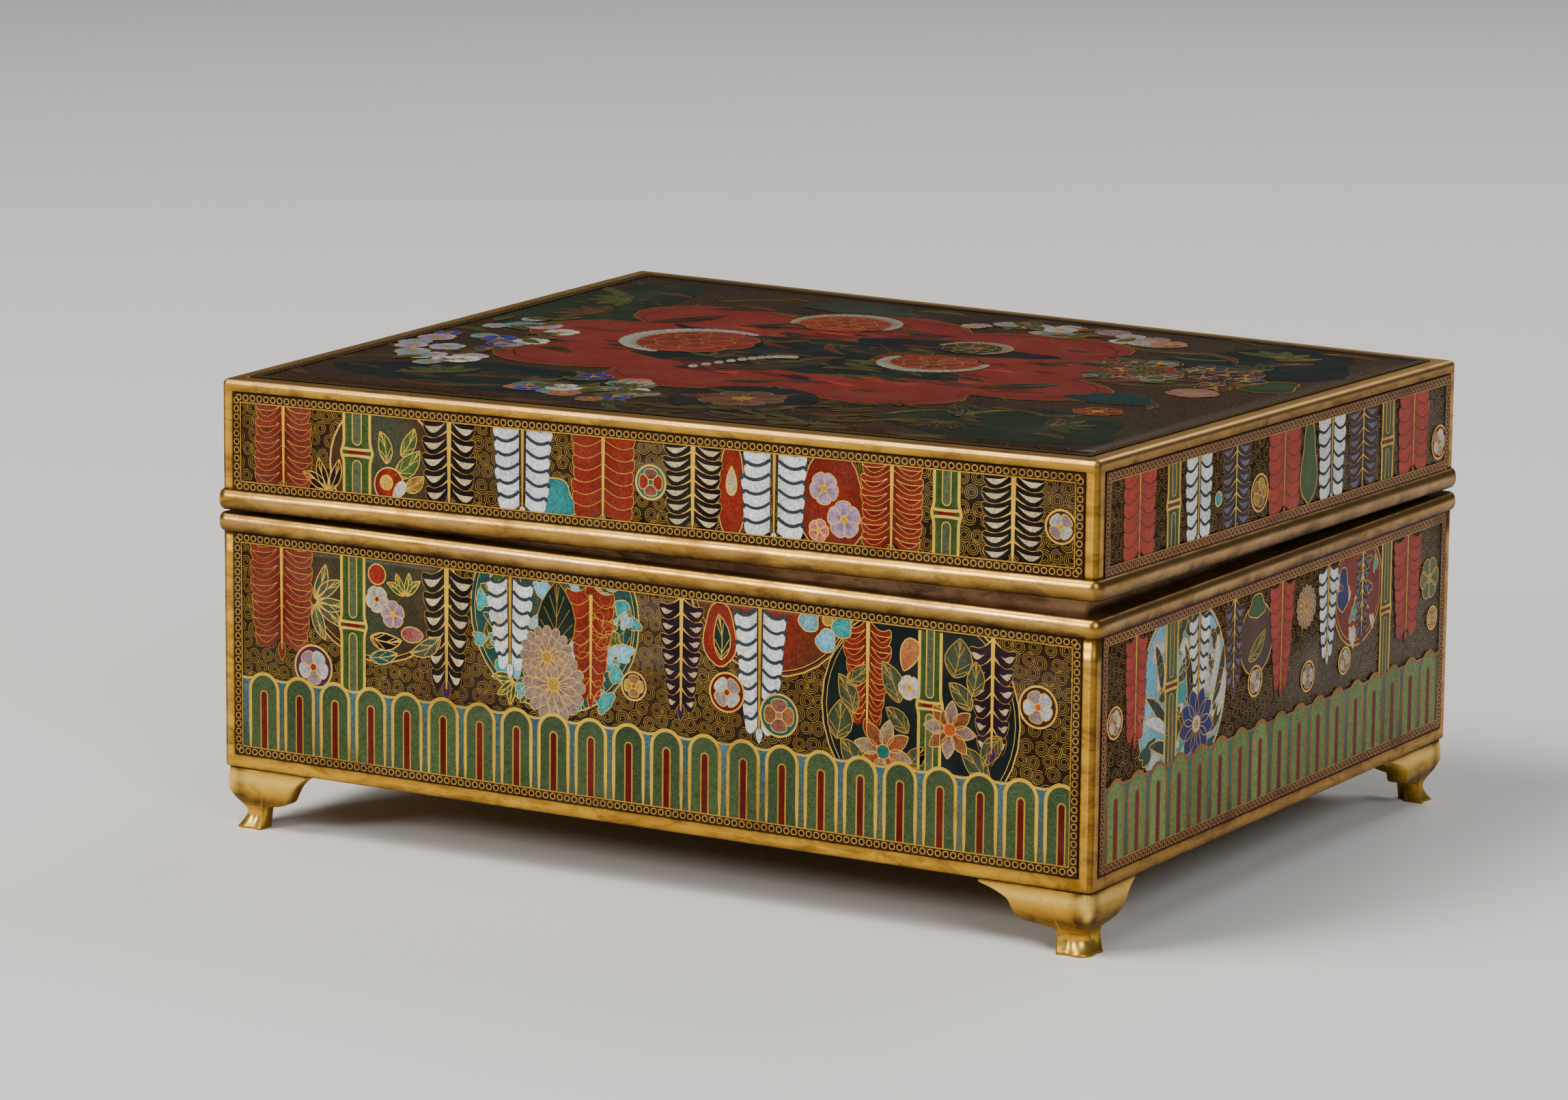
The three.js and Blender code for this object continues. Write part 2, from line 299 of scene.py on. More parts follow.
def shell_piece(name, grid, material, wear, lifted=False):
    """A closed skin from a grid carried round the plan, with a pole at its first and last row.
    wear has a colour for each point of the grid."""
    rows, columns = grid.shape[:2]
    points = grid.reshape(-1, 3)
    middle = [grid[0].mean(0) * (0, 0, 1), grid[-1].mean(0) * (0, 0, 1)]
    points = np.vstack([points, middle])
    if lifted:
        points[:, 2] += lift(points[:, 0], points[:, 1])
    faces = [grid_faces(rows, columns, closed_columns=True)]
    faces.append(fan_faces(rows * columns, np.arange(columns)))
    last = np.arange(columns) + (rows - 1) * columns
    faces.append(fan_faces(rows * columns + 1, last, turned=True))
    wear = np.vstack([wear.reshape(-1, 3), wear[[0, -1]].mean(1)])
    return make_piece(name, points, faces, [material], tints=wear)


def floor_rows(z, insets, radius=0.4):
    return [(inset, z, radius) for inset in insets]


def uneven(grid, depth, size, seed):
    """Presses a carried grid in and out along the way out of the plan by a smooth unevenness."""
    out = grid.copy()
    centre = np.clip(grid[..., :2], [-LENGTH / 2 + 2, -DEPTH / 2 + 2], [LENGTH / 2 - 2, DEPTH / 2 - 2])
    way = grid[..., :2] - centre
    way /= np.maximum(np.linalg.norm(way, axis=-1, keepdims=True), 1e-6)
    out[..., :2] -= way * (0.5 + 0.5 * ripple(grid, size, seed))[..., None] * depth
    return out


SHELL_SIDES = stations([0.9, 1.35] + [STRIP + e for e in LIP_PLACES])
DENT, DENT_SIZE = 0.035, 9  # depth and size of the shells' unevenness
OPEN_END = 9  # how far a side's seat runs past the shell's open edge
SPOT_AT = 32.0  # a dark spot on the front's lower strip, from the middle


def base_shell(material):
    """Underside, walls with their enamel seats, inner walls and floor, as one carried profile."""
    low = BODY_Z + STRIP
    rows = floor_rows(BODY_Z, (35, 20, 8, 3), 0.5)
    rows += [(0.35, BODY_Z, 0.5), (0.1, BODY_Z + 0.1, 0.6), (0, BODY_Z + 0.35, CORNER_R)]
    rows += [(0, BODY_Z + 0.9, CORNER_R)]
    rows += [(0, low + e, CORNER_R) for e in LIP_PLACES]
    rows += [(0, z, CORNER_R) for z in np.linspace(low + 1, BASE_TOP, 9)]
    rows += [(WALL, BASE_TOP, 0.4), (WALL, BASE_TOP - 0.4, 0.4)]
    rows += [(WALL, z, 0.4) for z in np.linspace(BASE_TOP - 3, BODY_Z + FLOOR + 0.6, 6)]
    rows += [(WALL + 0.2, BODY_Z + FLOOR + 0.2, 0.4), (WALL + 0.6, BODY_Z + FLOOR, 0.4)]
    rows += floor_rows(BODY_Z + FLOOR, (8, 20, 35), 0.5)
    seat = (STRIP, low, BASE_TOP + OPEN_END)
    grid = uneven(carried(rows, SHELL_SIDES, seat), DENT, DENT_SIZE, 3)
    wear = shell_wear(rows, SHELL_SIDES, seat)
    level = grid[..., 2]
    wear[..., 0] = np.maximum(wear[..., 0], 0.8 * near(level, BODY_Z, 0.35))
    spot = near(grid[..., 0], SPOT_AT, 1.3) * (grid[..., 1] < 0) * near(level, low - 0.2, 0.9)
    wear[..., 0] = np.maximum(wear[..., 0], 1.2 * spot)
    return shell_piece("base_shell", grid, material, wear)


def lid_shell(material):
    """Underside of the top, inner walls, rim, outer walls with seats, rounded edge, top seat."""
    high = LID_TOP - LID_STRIP
    under = LID_TOP - TOP
    rows = floor_rows(under, (35, 20, 8, WALL + 0.6), 0.5)
    rows += [(WALL + 0.2, under - 0.2, 0.4), (WALL, under - 0.6, 0.4)]
    rows += [(WALL, z, 0.4) for z in np.linspace(under - 2, LID_Z + 0.2, 4)]
    rows += [(WALL, LID_Z, 0.4), (0, LID_Z, CORNER_R)]
    rows += [(0, z, CORNER_R) for z in np.linspace(LID_Z + 0.5, high - 1, 6)]
    rows += [(0, high - e, CORNER_R) for e in LIP_PLACES[::-1]]
    for turn in np.linspace(0, np.pi / 2, 8):
        inset = EDGE_R * (1 - math.cos(turn))
        rows.append((inset, LID_TOP - EDGE_R * (1 - math.sin(turn)), CORNER_R - 0.8 * inset))
    seat = EDGE_R + TOP_STRIP
    for place in LIP_PLACES[:-1]:
        rows.append((seat + place, LID_TOP - float(step_in(np.array(place))), 0.15))
    rows += floor_rows(LID_TOP - RECESS, (seat + 0.02, 6, 20, 35), 0.15)
    sides_seat = (STRIP, LID_Z - OPEN_END, high)
    grid = uneven(carried(rows, SHELL_SIDES, sides_seat), DENT, DENT_SIZE, 5)
    wear = shell_wear(rows, SHELL_SIDES, sides_seat)
    level = grid[..., 2]
    inset = np.array([row[0] for row in rows])[:, None] * np.ones(grid.shape[1])
    # Rosy rubbing along the rounded top edge, partly wear and partly a painted highlight.
    edge = np.clip(near(level, LID_TOP - 0.25, 0.4) * (inset < 0.75), 0, 1)
    wear[..., 1] = np.maximum(wear[..., 1], edge)
    # A darker band on the strip under the top edge.
    wear[..., 0] = np.maximum(wear[..., 0], 0.55 * near(level, LID_TOP - 1.25, 0.45) * (inset < 0.01))
    wear[..., 0] = np.maximum(wear[..., 0], 0.5 * (inset > 0.8) * (level > LID_TOP - RECESS))
    return shell_piece("lid_shell", grid, material, wear, lifted=True)


def bead_piece(name, z, height, material, lifted, seed):
    """A bead moulding: a half-round profile with a flat back, carried round the plan, with
    slight dents; the profile's ends meet, so the piece is a closed ring."""
    sides = stations([CORNER_R + 0.3, 2.5], spacing=1.5)
    arc = np.linspace(-np.pi / 2, np.pi / 2, 17)
    rows = [(-BEAD_PROUD * math.cos(a), z + height / 2 * (1 + math.sin(a)),
             CORNER_R + BEAD_PROUD * math.cos(a)) for a in arc]
    rows += [(WALL * share, z + height, 0.5) for share in (0.3, 0.95)]
    rows += [(WALL, z + height - 0.1, 0.4), (WALL, z + 0.1, 0.4)]
    rows += [(WALL * share, z, 0.5) for share in (0.95, 0.3)]
    grid = uneven(carried(rows, sides), 0.05, 5, seed)
    grid = uneven(grid, 0.03, 1.7, seed + 1)
    # Painted shade darkens the lower part of the bead; the dark line along its top is grime where it
    # meets the wall, and the rosy rub high on the round is wear.
    share = (grid[..., 2] - z) / height
    smear = 0.12 * ripple(grid, 4, seed + 2)
    grime_and_shade = np.clip(1.15 - (share + smear) / 0.6, 0, 1) + 0.8 * near(share, 1.0, 0.1)
    rub = near(share, 0.62, 0.2) * np.clip(0.4 + 1.6 * ripple(grid, 14, seed + 3), 0, 1)
    wear = np.stack([np.clip(grime_and_shade, 0, 1), rub, 0 * share], -1)
    points = grid.reshape(-1, 3)
    if lifted:
        points[:, 2] += lift(points[:, 0], points[:, 1])
    faces = grid_faces(*grid.shape[:2], closed_rows=True, closed_columns=True)
    return make_piece(name, points, [faces], [material], tints=wear.reshape(-1, 3))


def collar_piece(material):
    """The upright collar: a thin rectangular profile with eased edges carried round the plan."""
    inset = COLLAR_LOW[0] + LENGTH / 2
    thick = 1.0
    low, high = COLLAR_LOW[2], COLLAR_HIGH[2]
    ease = 0.2
    rows = [(inset + ease, low, 0.4), (inset, low + ease, 0.4)]
    rows += [(inset, z, 0.4) for z in np.linspace(low + 2, high - 2, 4)]
    rows += [(inset, high - ease, 0.4), (inset + ease, high, 0.4)]
    rows += [(inset + thick - ease, high, 0.3), (inset + thick, high - ease, 0.3)]
    rows += [(inset + thick, z, 0.3) for z in np.linspace(high - 2, low + 2, 4)]
    rows += [(inset + thick, low + ease, 0.3), (inset + thick - ease, low, 0.3)]
    sides = stations([CORNER_R + 0.5], spacing=5)
    grid = carried(rows, sides)
    faces = grid_faces(*grid.shape[:2], closed_rows=True, closed_columns=True)
    points = grid.reshape(-1, 3)
    return make_piece("collar_ring", points, [faces], [material], tints=np.zeros_like(points))


# ---------------------------------------------------------------- feet

LONG_WING, SHORT_WING = 15.5, 12.3
LEG_W = 5.2
FOOT_BACK = 3.4
FOOT_H = BODY_Z - SEAM
TOP_SET, BELLY_SET, NECK_SET, TOE_SET = 0.45, 0.25, 1.7, 0.8
BELLY_END, NECK_AT = 2.4, 6.1
RIDGE_R, TOE_ROUND = 0.5, 1.0
LEG_PINCH = 0.12
FLUTE = 0.22  # depth of the shallow channel down each face of the leg
FOOT_LEVELS = 26  # points down the face of each section


def smoothstep(value, low, high):
    share = np.clip((value - low) / (high - low), 0, 1)
    return share * share * (3 - 2 * share)


def foot_set(level):
    """How far the foot's face is set in at a level below the body: belly, neck, flared toe."""
    swell = TOP_SET + (BELLY_SET - TOP_SET) * np.sin(np.clip(level / BELLY_END, 0, 1) * np.pi / 2)
    neck = BELLY_SET + (NECK_SET - BELLY_SET) * smoothstep(level, BELLY_END, NECK_AT)
    flare = np.clip((level - NECK_AT) / (FOOT_H - NECK_AT), 0, 1) ** 1.6
    toe = NECK_SET + (TOE_SET - NECK_SET) * flare
    return np.where(level < BELLY_END, swell, np.where(level < NECK_AT, neck, toe))


def wing_edge(tip):
    """Lower edge of a wing as (distance from the corner, level), tip to leg, smoothed by
    a running curve through the few named points of its ogee, cusp and apron."""
    knee = 10.2 + (tip - SHORT_WING) * 0.4
    marks = np.array([
        [tip, 0.4], [(tip + knee) / 2, 0.95], [knee, 1.9], [knee - 0.7, 3.1], [knee - 1.4, 4.3],
        [7.4, 4.75], [LEG_W + 0.5, 5.05], [LEG_W + 0.1, 5.5],
    ])
    at = np.linspace(0, len(marks) - 1, 4 * (len(marks) - 1) + 1)
    low = np.clip(at.astype(int), 0, len(marks) - 2)
    t = (at - low)[:, None]
    before, after = marks[np.maximum(low - 1, 0)], marks[np.minimum(low + 2, len(marks) - 1)]
    a, b = marks[low], marks[low + 1]
    return 0.5 * (2 * a + (b - before) * t + (2 * before - 5 * a + 4 * b - after) * t ** 2
                  + (3 * a - before - 3 * b + after) * t ** 3)


def foot_grid():
    """A bracket foot at the front right corner, as closed sections carried from tip to tip."""
    legs = [1.0, 0.86, 0.72, 0.58, 0.44, 0.3, 0.15]
    sections = [("long", s, deep, None) for s, deep in wing_edge(LONG_WING)]
    sections += [("long", LEG_W, FOOT_H, share) for share in legs]
    sections += [("corner", turn, FOOT_H, None) for turn in np.linspace(0, 90, 9)]
    sections += [("short", LEG_W, FOOT_H, share) for share in legs[::-1]]
    sections += [("short", s, deep, None) for s, deep in wing_edge(SHORT_WING)[::-1]]
    grid = []
    for wing, s, deep, part in sections:
        level = np.linspace(0, deep, FOOT_LEVELS)
        held = foot_set(level)
        r = RIDGE_R + TOE_ROUND * smoothstep(level, BELLY_END + 1.6, NECK_AT)
        narrow = 1 - LEG_PINCH * (held - BELLY_SET) / (NECK_SET - BELLY_SET)
        if wing == "corner":
            turn = math.radians(s)
            x, y = -held - r + r * math.sin(turn), held + r - r * math.cos(turn)
            reach = np.full(FOOT_LEVELS, FOOT_BACK)
        else:
            along = np.full(FOOT_LEVELS, s)
            if part is not None:
                along = (held + r) * (1 - part) + LEG_W * narrow * part
                held = held + FLUTE * smoothstep(level, 4.6, 5.8) * near(part, 0.5, 0.26)
            x, y = (-along, held) if wing == "long" else (-held, along)
            reach = np.maximum(along, FOOT_BACK)
        face = np.column_stack([x, y, -level])
        back = []
        for i in (-1, FOOT_LEVELS // 2, 0):
            flat = (-FOOT_BACK, reach[i]) if wing == "short" else (-reach[i], FOOT_BACK)
            back.append((*flat, -level[i]))
        grid.append(np.vstack([face, back]))
    return np.array(grid)


def foot_piece(name, sign_x, sign_y, turn, material, seed):
    """The casting turned to its corner, with its ends capped and its face slightly uneven."""
    grid = foot_grid()
    rows, columns = grid.shape[:2]
    facing = np.where(np.arange(columns) < FOOT_LEVELS, 1.0, 0.0)[:, None]
    grid[..., :2] += 0.03 * ripple(grid, 4, seed)[..., None] * facing
    points = grid.reshape(-1, 3)
    c, s = math.cos(turn), math.sin(turn)
    flat = points[:, :2] @ np.array([[c, s], [-s, c]])
    corner = np.array([sign_x * LENGTH / 2, sign_y * DEPTH / 2])
    points = np.column_stack([flat + corner, points[:, 2] + FOOT_H])
    points[:, 2] = np.maximum(points[:, 2], 0)
    caps = points.reshape(rows, columns, 3)[[0, -1]].mean(1)
    points = np.vstack([points, caps])
    faces = [grid_faces(rows, columns, closed_columns=True)]
    faces.append(fan_faces(rows * columns, np.arange(columns)))
    faces.append(fan_faces(rows * columns + 1, np.arange(columns) + (rows - 1) * columns, True))
    level = FOOT_H - points[:, 2]
    away = np.linalg.norm(np.abs(points[:, :2]) - np.abs(corner), axis=1)
    # Painted shade: a dark band on the lower belly where it curves under, and a dark line next to the
    # corner ridge; darker also at the joint under the body and at the toe's foot.
    shade_and_patina = 0.85 * near(level, 4.3, 1.25) + near(level, 0, 0.3) + 0.5 * near(level, FOOT_H, 0.35)
    shade_and_patina += 0.45 * near(away, 2.2, 0.8) * (level < 4)
    # Painted highlights: a bright band high on the belly, one on the toe just below the neck, and one
    # down the corner ridge.
    bright = near(level, 1.3, 0.7) + near(level, NECK_AT + 0.8, 0.5)
    bright += near(away, 0.6, 0.8) * (level < 4)
    wear = np.column_stack([np.clip(shade_and_patina, 0, 1), 0 * level, np.clip(bright, 0, 1)])
    return make_piece(name, points, faces, [material], tints=wear)


# ---------------------------------------------------------------- materials


class Finish:
    """One material's node tree, with a short call for each node that the finishes use."""

    def __init__(self, name):
        self.material = bpy.data.materials.new(name)
        self.material.use_nodes = True
        self.tree = self.material.node_tree
        self.shader = self.tree.nodes["Principled BSDF"]
        self.place = self.tree.nodes.new("ShaderNodeTexCoord").outputs["Object"]

    def link(self, source, socket):
        self.tree.links.new(source, socket)

    def put(self, socket, value):
        if isinstance(value, bpy.types.NodeSocket):
            self.link(value, socket)
        elif hasattr(socket.default_value, "__len__") and len(socket.default_value) == 4:
            socket.default_value = (*value, 1)
        else:
            socket.default_value = value

    def set(self, **values):
        for name, value in values.items():
            self.put(self.shader.inputs[name.replace("_", " ")], value)

    def noise(self, size, detail=4, rough=0.55, warp=0.0, stretch=None):
        """Cloudy unevenness, with its main size in millimetres."""
        node = self.tree.nodes.new("ShaderNodeTexNoise")
        node.inputs["Scale"].default_value = 1 / (size * MM)
        node.inputs["Detail"].default_value = detail
        node.inputs["Roughness"].default_value = rough
        node.inputs["Distortion"].default_value = warp
        place = self.place
        if stretch:
            mapping = self.tree.nodes.new("ShaderNodeMapping")
            mapping.inputs["Scale"].default_value = stretch
            self.link(self.place, mapping.inputs["Vector"])
            place = mapping.outputs["Vector"]
        self.link(place, node.inputs["Vector"])
        return node.outputs["Fac"]

    def specks(self, size, reach):
        """1 in small round dots scattered about every `size` millimetres, else 0."""
        node = self.tree.nodes.new("ShaderNodeTexVoronoi")
        node.inputs["Scale"].default_value = 1 / (size * MM)
        self.link(self.place, node.inputs["Vector"])
        return self.ramp(node.outputs["Distance"], (reach * 0.7, 1.0), (reach, 0.0))

    def ramp(self, factor, *stops):
        """A run of values or colours along a factor, from (place, value) stops."""
        node = self.tree.nodes.new("ShaderNodeValToRGB")
        marks = node.color_ramp.elements
        while len(marks) < len(stops):
            marks.new(0.5)
        for mark, (at, value) in zip(marks, stops):
            mark.position = at
            mark.color = (*value, 1) if hasattr(value, "__len__") else (value, value, value, 1)
        self.link(factor, node.inputs["Fac"])
        return node.outputs["Color"]

    def mix(self, factor, first, second, how="MIX"):
        node = self.tree.nodes.new("ShaderNodeMix")
        node.data_type = "RGBA"
        node.blend_type = how
        self.put(node.inputs[0], factor)
        self.put(node.inputs[6], first)
        self.put(node.inputs[7], second)
        return node.outputs[2]

    def math(self, how, first, second):
        node = self.tree.nodes.new("ShaderNodeMath")
        node.operation = how
        for socket, value in zip(node.inputs, (first, second)):
            self.put(socket, value)
        return node.outputs[0]

    def axis(self, index):
        node = self.tree.nodes.new("ShaderNodeSeparateXYZ")
        self.link(self.place, node.inputs[0])
        return node.outputs[index]

    def band(self, value, low, high):
        """0 below `low` and 1 above `high`, both in millimetres, along an axis."""
        node = self.tree.nodes.new("ShaderNodeMapRange")
        node.inputs["From Min"].default_value = low * MM
        node.inputs["From Max"].default_value = high * MM
        node.clamp = True
        self.link(value, node.inputs["Value"])
        return node.outputs["Result"]

    def tint(self):
        node = self.tree.nodes.new("ShaderNodeAttribute")
        node.attribute_name = "tint"
        return node.outputs["Color"]

    def bump(self, height, depth, strength=1.0):
        """Fine relief of the surface, with its depth in millimetres."""
        node = self.tree.nodes.new("ShaderNodeBump")
        node.inputs["Distance"].default_value = depth * MM
        node.inputs["Strength"].default_value = strength
        self.link(height, node.inputs["Height"])
        self.link(node.outputs["Normal"], self.shader.inputs["Normal"])


# Colours for grime that also serves as painted shade, for rosy rubbing that also serves as painted
# highlight, and for the feet's painted highlights.
GRIME_AND_SHADE = (0.050, 0.026, 0.010)
RUB_AND_HIGHLIGHT = (0.80, 0.50, 0.29)
BRIGHT = (0.98, 0.68, 0.17)


def worn_gilt(name, gold, worn, dark, wear=0.5, right_side=True, rough=0.27):
    """Fire-gilt copper: clouded gold, worn patches, tarnish and small pits, grime and painted shade,
    rosy rubbing and painted highlights on the edges, painted highlights on the feet; on the right
    side the gilding is browner and duller, partly wear and partly painted shade."""
    finish = Finish(name)
    clouds = finish.noise(14, 5, 0.6, 0.4)
    rubs = finish.noise(2.2, 6, 0.7, 0.8, (0.35, 0.35, 1.0))
    grain = finish.noise(0.35, 3, 0.6)
    colour = finish.mix(finish.ramp(clouds, (0.38, 0.0), (0.66, 1.0)), gold, worn)
    colour = finish.mix(finish.ramp(rubs, (wear, 0.0), (wear + 0.2, 0.85)), colour, dark)
    # The right side is mixed halfway to brown: partly worn gilding, partly painted shade on the side
    # turned away from the key light.
    if right_side:
        side = finish.band(finish.axis(0), LENGTH / 2 - 0.35, LENGTH / 2 + 0.05)
        brown = finish.mix(0.5, colour, (0.22, 0.10, 0.028))
        colour = finish.mix(side, colour, brown)
    marks = finish.tree.nodes.new("ShaderNodeSeparateColor")
    finish.link(finish.tint(), marks.inputs[0])
    # Painted highlights from the tint's third channel, which only the feet carry.
    colour = finish.mix(finish.math("MULTIPLY", marks.outputs[2], 0.7), colour, BRIGHT)
    # Rosy rubbing from the second channel: wear, plus painted highlights next to the upright corners and
    # on the lid's top edge.
    colour = finish.mix(finish.math("MULTIPLY", marks.outputs[1], 0.35), colour, RUB_AND_HIGHLIGHT)
    # Grime from the first channel, broken up by the rubs; it also carries painted shade on the beads,
    # feet and corners.
    spread = finish.math("ADD", rubs, finish.math("MULTIPLY", grain, 0.3))
    dirt_and_shade = finish.math("MULTIPLY", marks.outputs[0], finish.ramp(spread, (0.35, 0.7), (0.75, 1.0)))
    colour = finish.mix(dirt_and_shade, colour, GRIME_AND_SHADE)
    pits = finish.specks(1.3, 0.1)
    colour = finish.mix(finish.math("MULTIPLY", pits, 0.5), colour, GRIME_AND_SHADE)
    roughness = finish.math("ADD", finish.ramp(rubs, (0.3, rough), (0.75, rough + 0.2)),
                            finish.math("MULTIPLY", dirt_and_shade, 0.25))
    relief = finish.math("ADD", finish.math("MULTIPLY", rubs, 0.8), grain)
    finish.bump(finish.math("SUBTRACT", relief, pits), 0.03, 0.4)
    finish.set(Base_Color=colour, Metallic=1.0, Roughness=roughness)
    return finish.material


def ground_enamel():
    """Translucent brown enamel under the whorls: reddish, olive and nearly black clouds."""
    finish = Finish("ground_enamel")
    clouds = finish.noise(16, 4, 0.6, 0.3)
    mottle = finish.noise(1.3, 5, 0.7)
    colour = finish.ramp(clouds, (0.36, (0.010, 0.005, 0.003)), (0.5, (0.026, 0.009, 0.004)),
                         (0.64, (0.020, 0.013, 0.004)))
    colour = finish.mix(finish.ramp(mottle, (0.35, 0.0), (0.75, 0.6)), colour, (0.045, 0.024, 0.009))
    pits = finish.specks(0.9, 0.13)
    colour = finish.mix(finish.math("MULTIPLY", pits, 0.4), colour, (0.16, 0.13, 0.09))
    finish.bump(finish.math("SUBTRACT", mottle, pits), 0.02, 0.35)
    finish.set(Base_Color=colour, Roughness=0.3, Specular_IOR_Level=0.07)
    return finish.material


def cell_enamel():
    """Opaque enamel in its own colour, clouded and flecked, with pits and a polished face."""
    finish = Finish("cell_enamel")
    mottle = finish.noise(0.9, 5, 0.75, 0.5)
    grain = finish.noise(0.22, 2, 0.6)
    clouds = finish.noise(6, 3, 0.5)
    colour = finish.tint()
    colour = finish.mix(1.0, colour, finish.ramp(grain, (0.36, 0.62), (0.64, 1.25)), "MULTIPLY")
    dim = finish.mix(1.0, colour, (0.58, 0.55, 0.52), "MULTIPLY")
    colour = finish.mix(finish.ramp(mottle, (0.42, 0.0), (0.72, 0.8)), colour, dim)
    pale = finish.mix(0.05, colour, (0.55, 0.48, 0.36))
    colour = finish.mix(finish.ramp(clouds, (0.45, 0.0), (0.75, 0.5)), colour, pale)
    pits = finish.specks(0.8, 0.12)
    colour = finish.mix(finish.math("MULTIPLY", pits, 0.45), colour, (0.05, 0.035, 0.025))
    finish.bump(finish.math("SUBTRACT", mottle, pits), 0.02, 0.3)
    finish.set(Base_Color=colour, Roughness=0.28, Specular_IOR_Level=0.09)
    return finish.material


def gilt_wire():
    """The gilt wires: bright where polished, brown where the gilding has gone."""
    finish = Finish("gilt_wire")
    clouds = finish.noise(9, 5, 0.7, 0.3)
    colour = finish.ramp(clouds, (0.34, (0.90, 0.52, 0.065)), (0.56, (0.74, 0.39, 0.045)),
                         (0.70, (0.42, 0.20, 0.028)))
    colour = finish.mix(1.0, colour, finish.tint(), "MULTIPLY")
    finish.set(Base_Color=colour, Metallic=0.85, Roughness=finish.ramp(clouds, (0.3, 0.3), (0.7, 0.45)))
    return finish.material


# ---------------------------------------------------------------- inlay

GROUND, CELL, WIRE = range(3)  # materials of a panel
LAYER_STEP = 0.013  # each layer of the picture lies this much above the last
CELL_LIFT = 0.012  # a cell over its layer
WIRE_LIFT = 0.016  # the crest of a wire over its foot
WIRE_FOOT = 0.004  # how deep the foot of a wire is sunk
WHORL_LIFT = 0.012
APART = 0.0003  # neighbours that meet are never level
ACROSS = np.linspace(-1, 1, 3)
MARGIN = 0.35  # the picture keeps this far inside its panel


def xy(*pair):
    return np.array(pair, float)


def heading(angle):
    """The way that an angle points, one long."""
    return xy(math.cos(angle), math.sin(angle))


def circle(angles):
    return np.column_stack([np.cos(angles), np.sin(angles)])


def strip(middle, half, v):
    """Edges, left and right, of an upright strip whose half width may change with its level."""
    return np.column_stack([middle - half + 0 * v, v]), np.column_stack([middle + half + 0 * v, v])


FIRED = 1.38  # how much deeper an enamel's colour is than the one it is named by


def rgb(*colour):
    return np.array(colour, float) ** FIRED


WHITE = rgb(0.69, 0.72, 0.72)
GREY_BLUE = rgb(0.20, 0.26, 0.31)
BRICK = rgb(0.375, 0.062, 0.03)
DEEP_RED = rgb(0.21, 0.022, 0.014)
FADED_RED = rgb(0.33, 0.085, 0.055)
BLACK = rgb(0.022, 0.012, 0.016)
AUBERGINE = rgb(0.055, 0.018, 0.045)
PURPLE = rgb(0.14, 0.05, 0.16)
CREAM = rgb(0.66, 0.55, 0.34)
TURQUOISE = rgb(0.10, 0.46, 0.46)
PALE_BLUE = rgb(0.26, 0.50, 0.58)
LEAF = rgb(0.10, 0.18, 0.05)
GREEN = rgb(0.075, 0.14, 0.045)
GREY_GREEN = rgb(0.20, 0.24, 0.14)
DARK_GREEN = rgb(0.012, 0.045, 0.030)
OLIVE = rgb(0.22, 0.30, 0.11)
TEAL = rgb(0.03, 0.19, 0.17)
NAVY = rgb(0.012, 0.018, 0.060)
COBALT = rgb(0.025, 0.045, 0.32)
MAUVE = rgb(0.36, 0.20, 0.18)
LILAC = rgb(0.50, 0.38, 0.50)
PINK = rgb(0.60, 0.28, 0.26)
PEACH = rgb(0.62, 0.30, 0.13)
ORANGE = rgb(0.58, 0.16, 0.04)
YELLOW = rgb(0.60, 0.42, 0.08)
BROWN = rgb(0.14, 0.07, 0.03)
SKY = rgb(0.30, 0.62, 0.78)
SLATE = rgb(0.11, 0.21, 0.24)
EARTH = rgb(0.36, 0.28, 0.24)
NIGHT = rgb(0.015, 0.035, 0.036)


def capsule(middle, half, top, bottom):
    """Edges, left and right, of an upright strip with round ends."""
    turn = np.linspace(0, np.pi / 2, 4)
    ends = half * (1 - np.cos(turn))
    v = np.concatenate([top + ends, (bottom - ends)[::-1]])
    wide = half * np.concatenate([np.sin(turn), np.sin(turn)[::-1]])
    return strip(middle, wide, v)


PLAIN = rgb(1, 1, 1)
AMBER = np.array([0.82, 0.9, 0.62])  # a paler tint for the broad wires
DUN = np.array([0.42, 0.48, 0.75])  # a duller one for the whorls


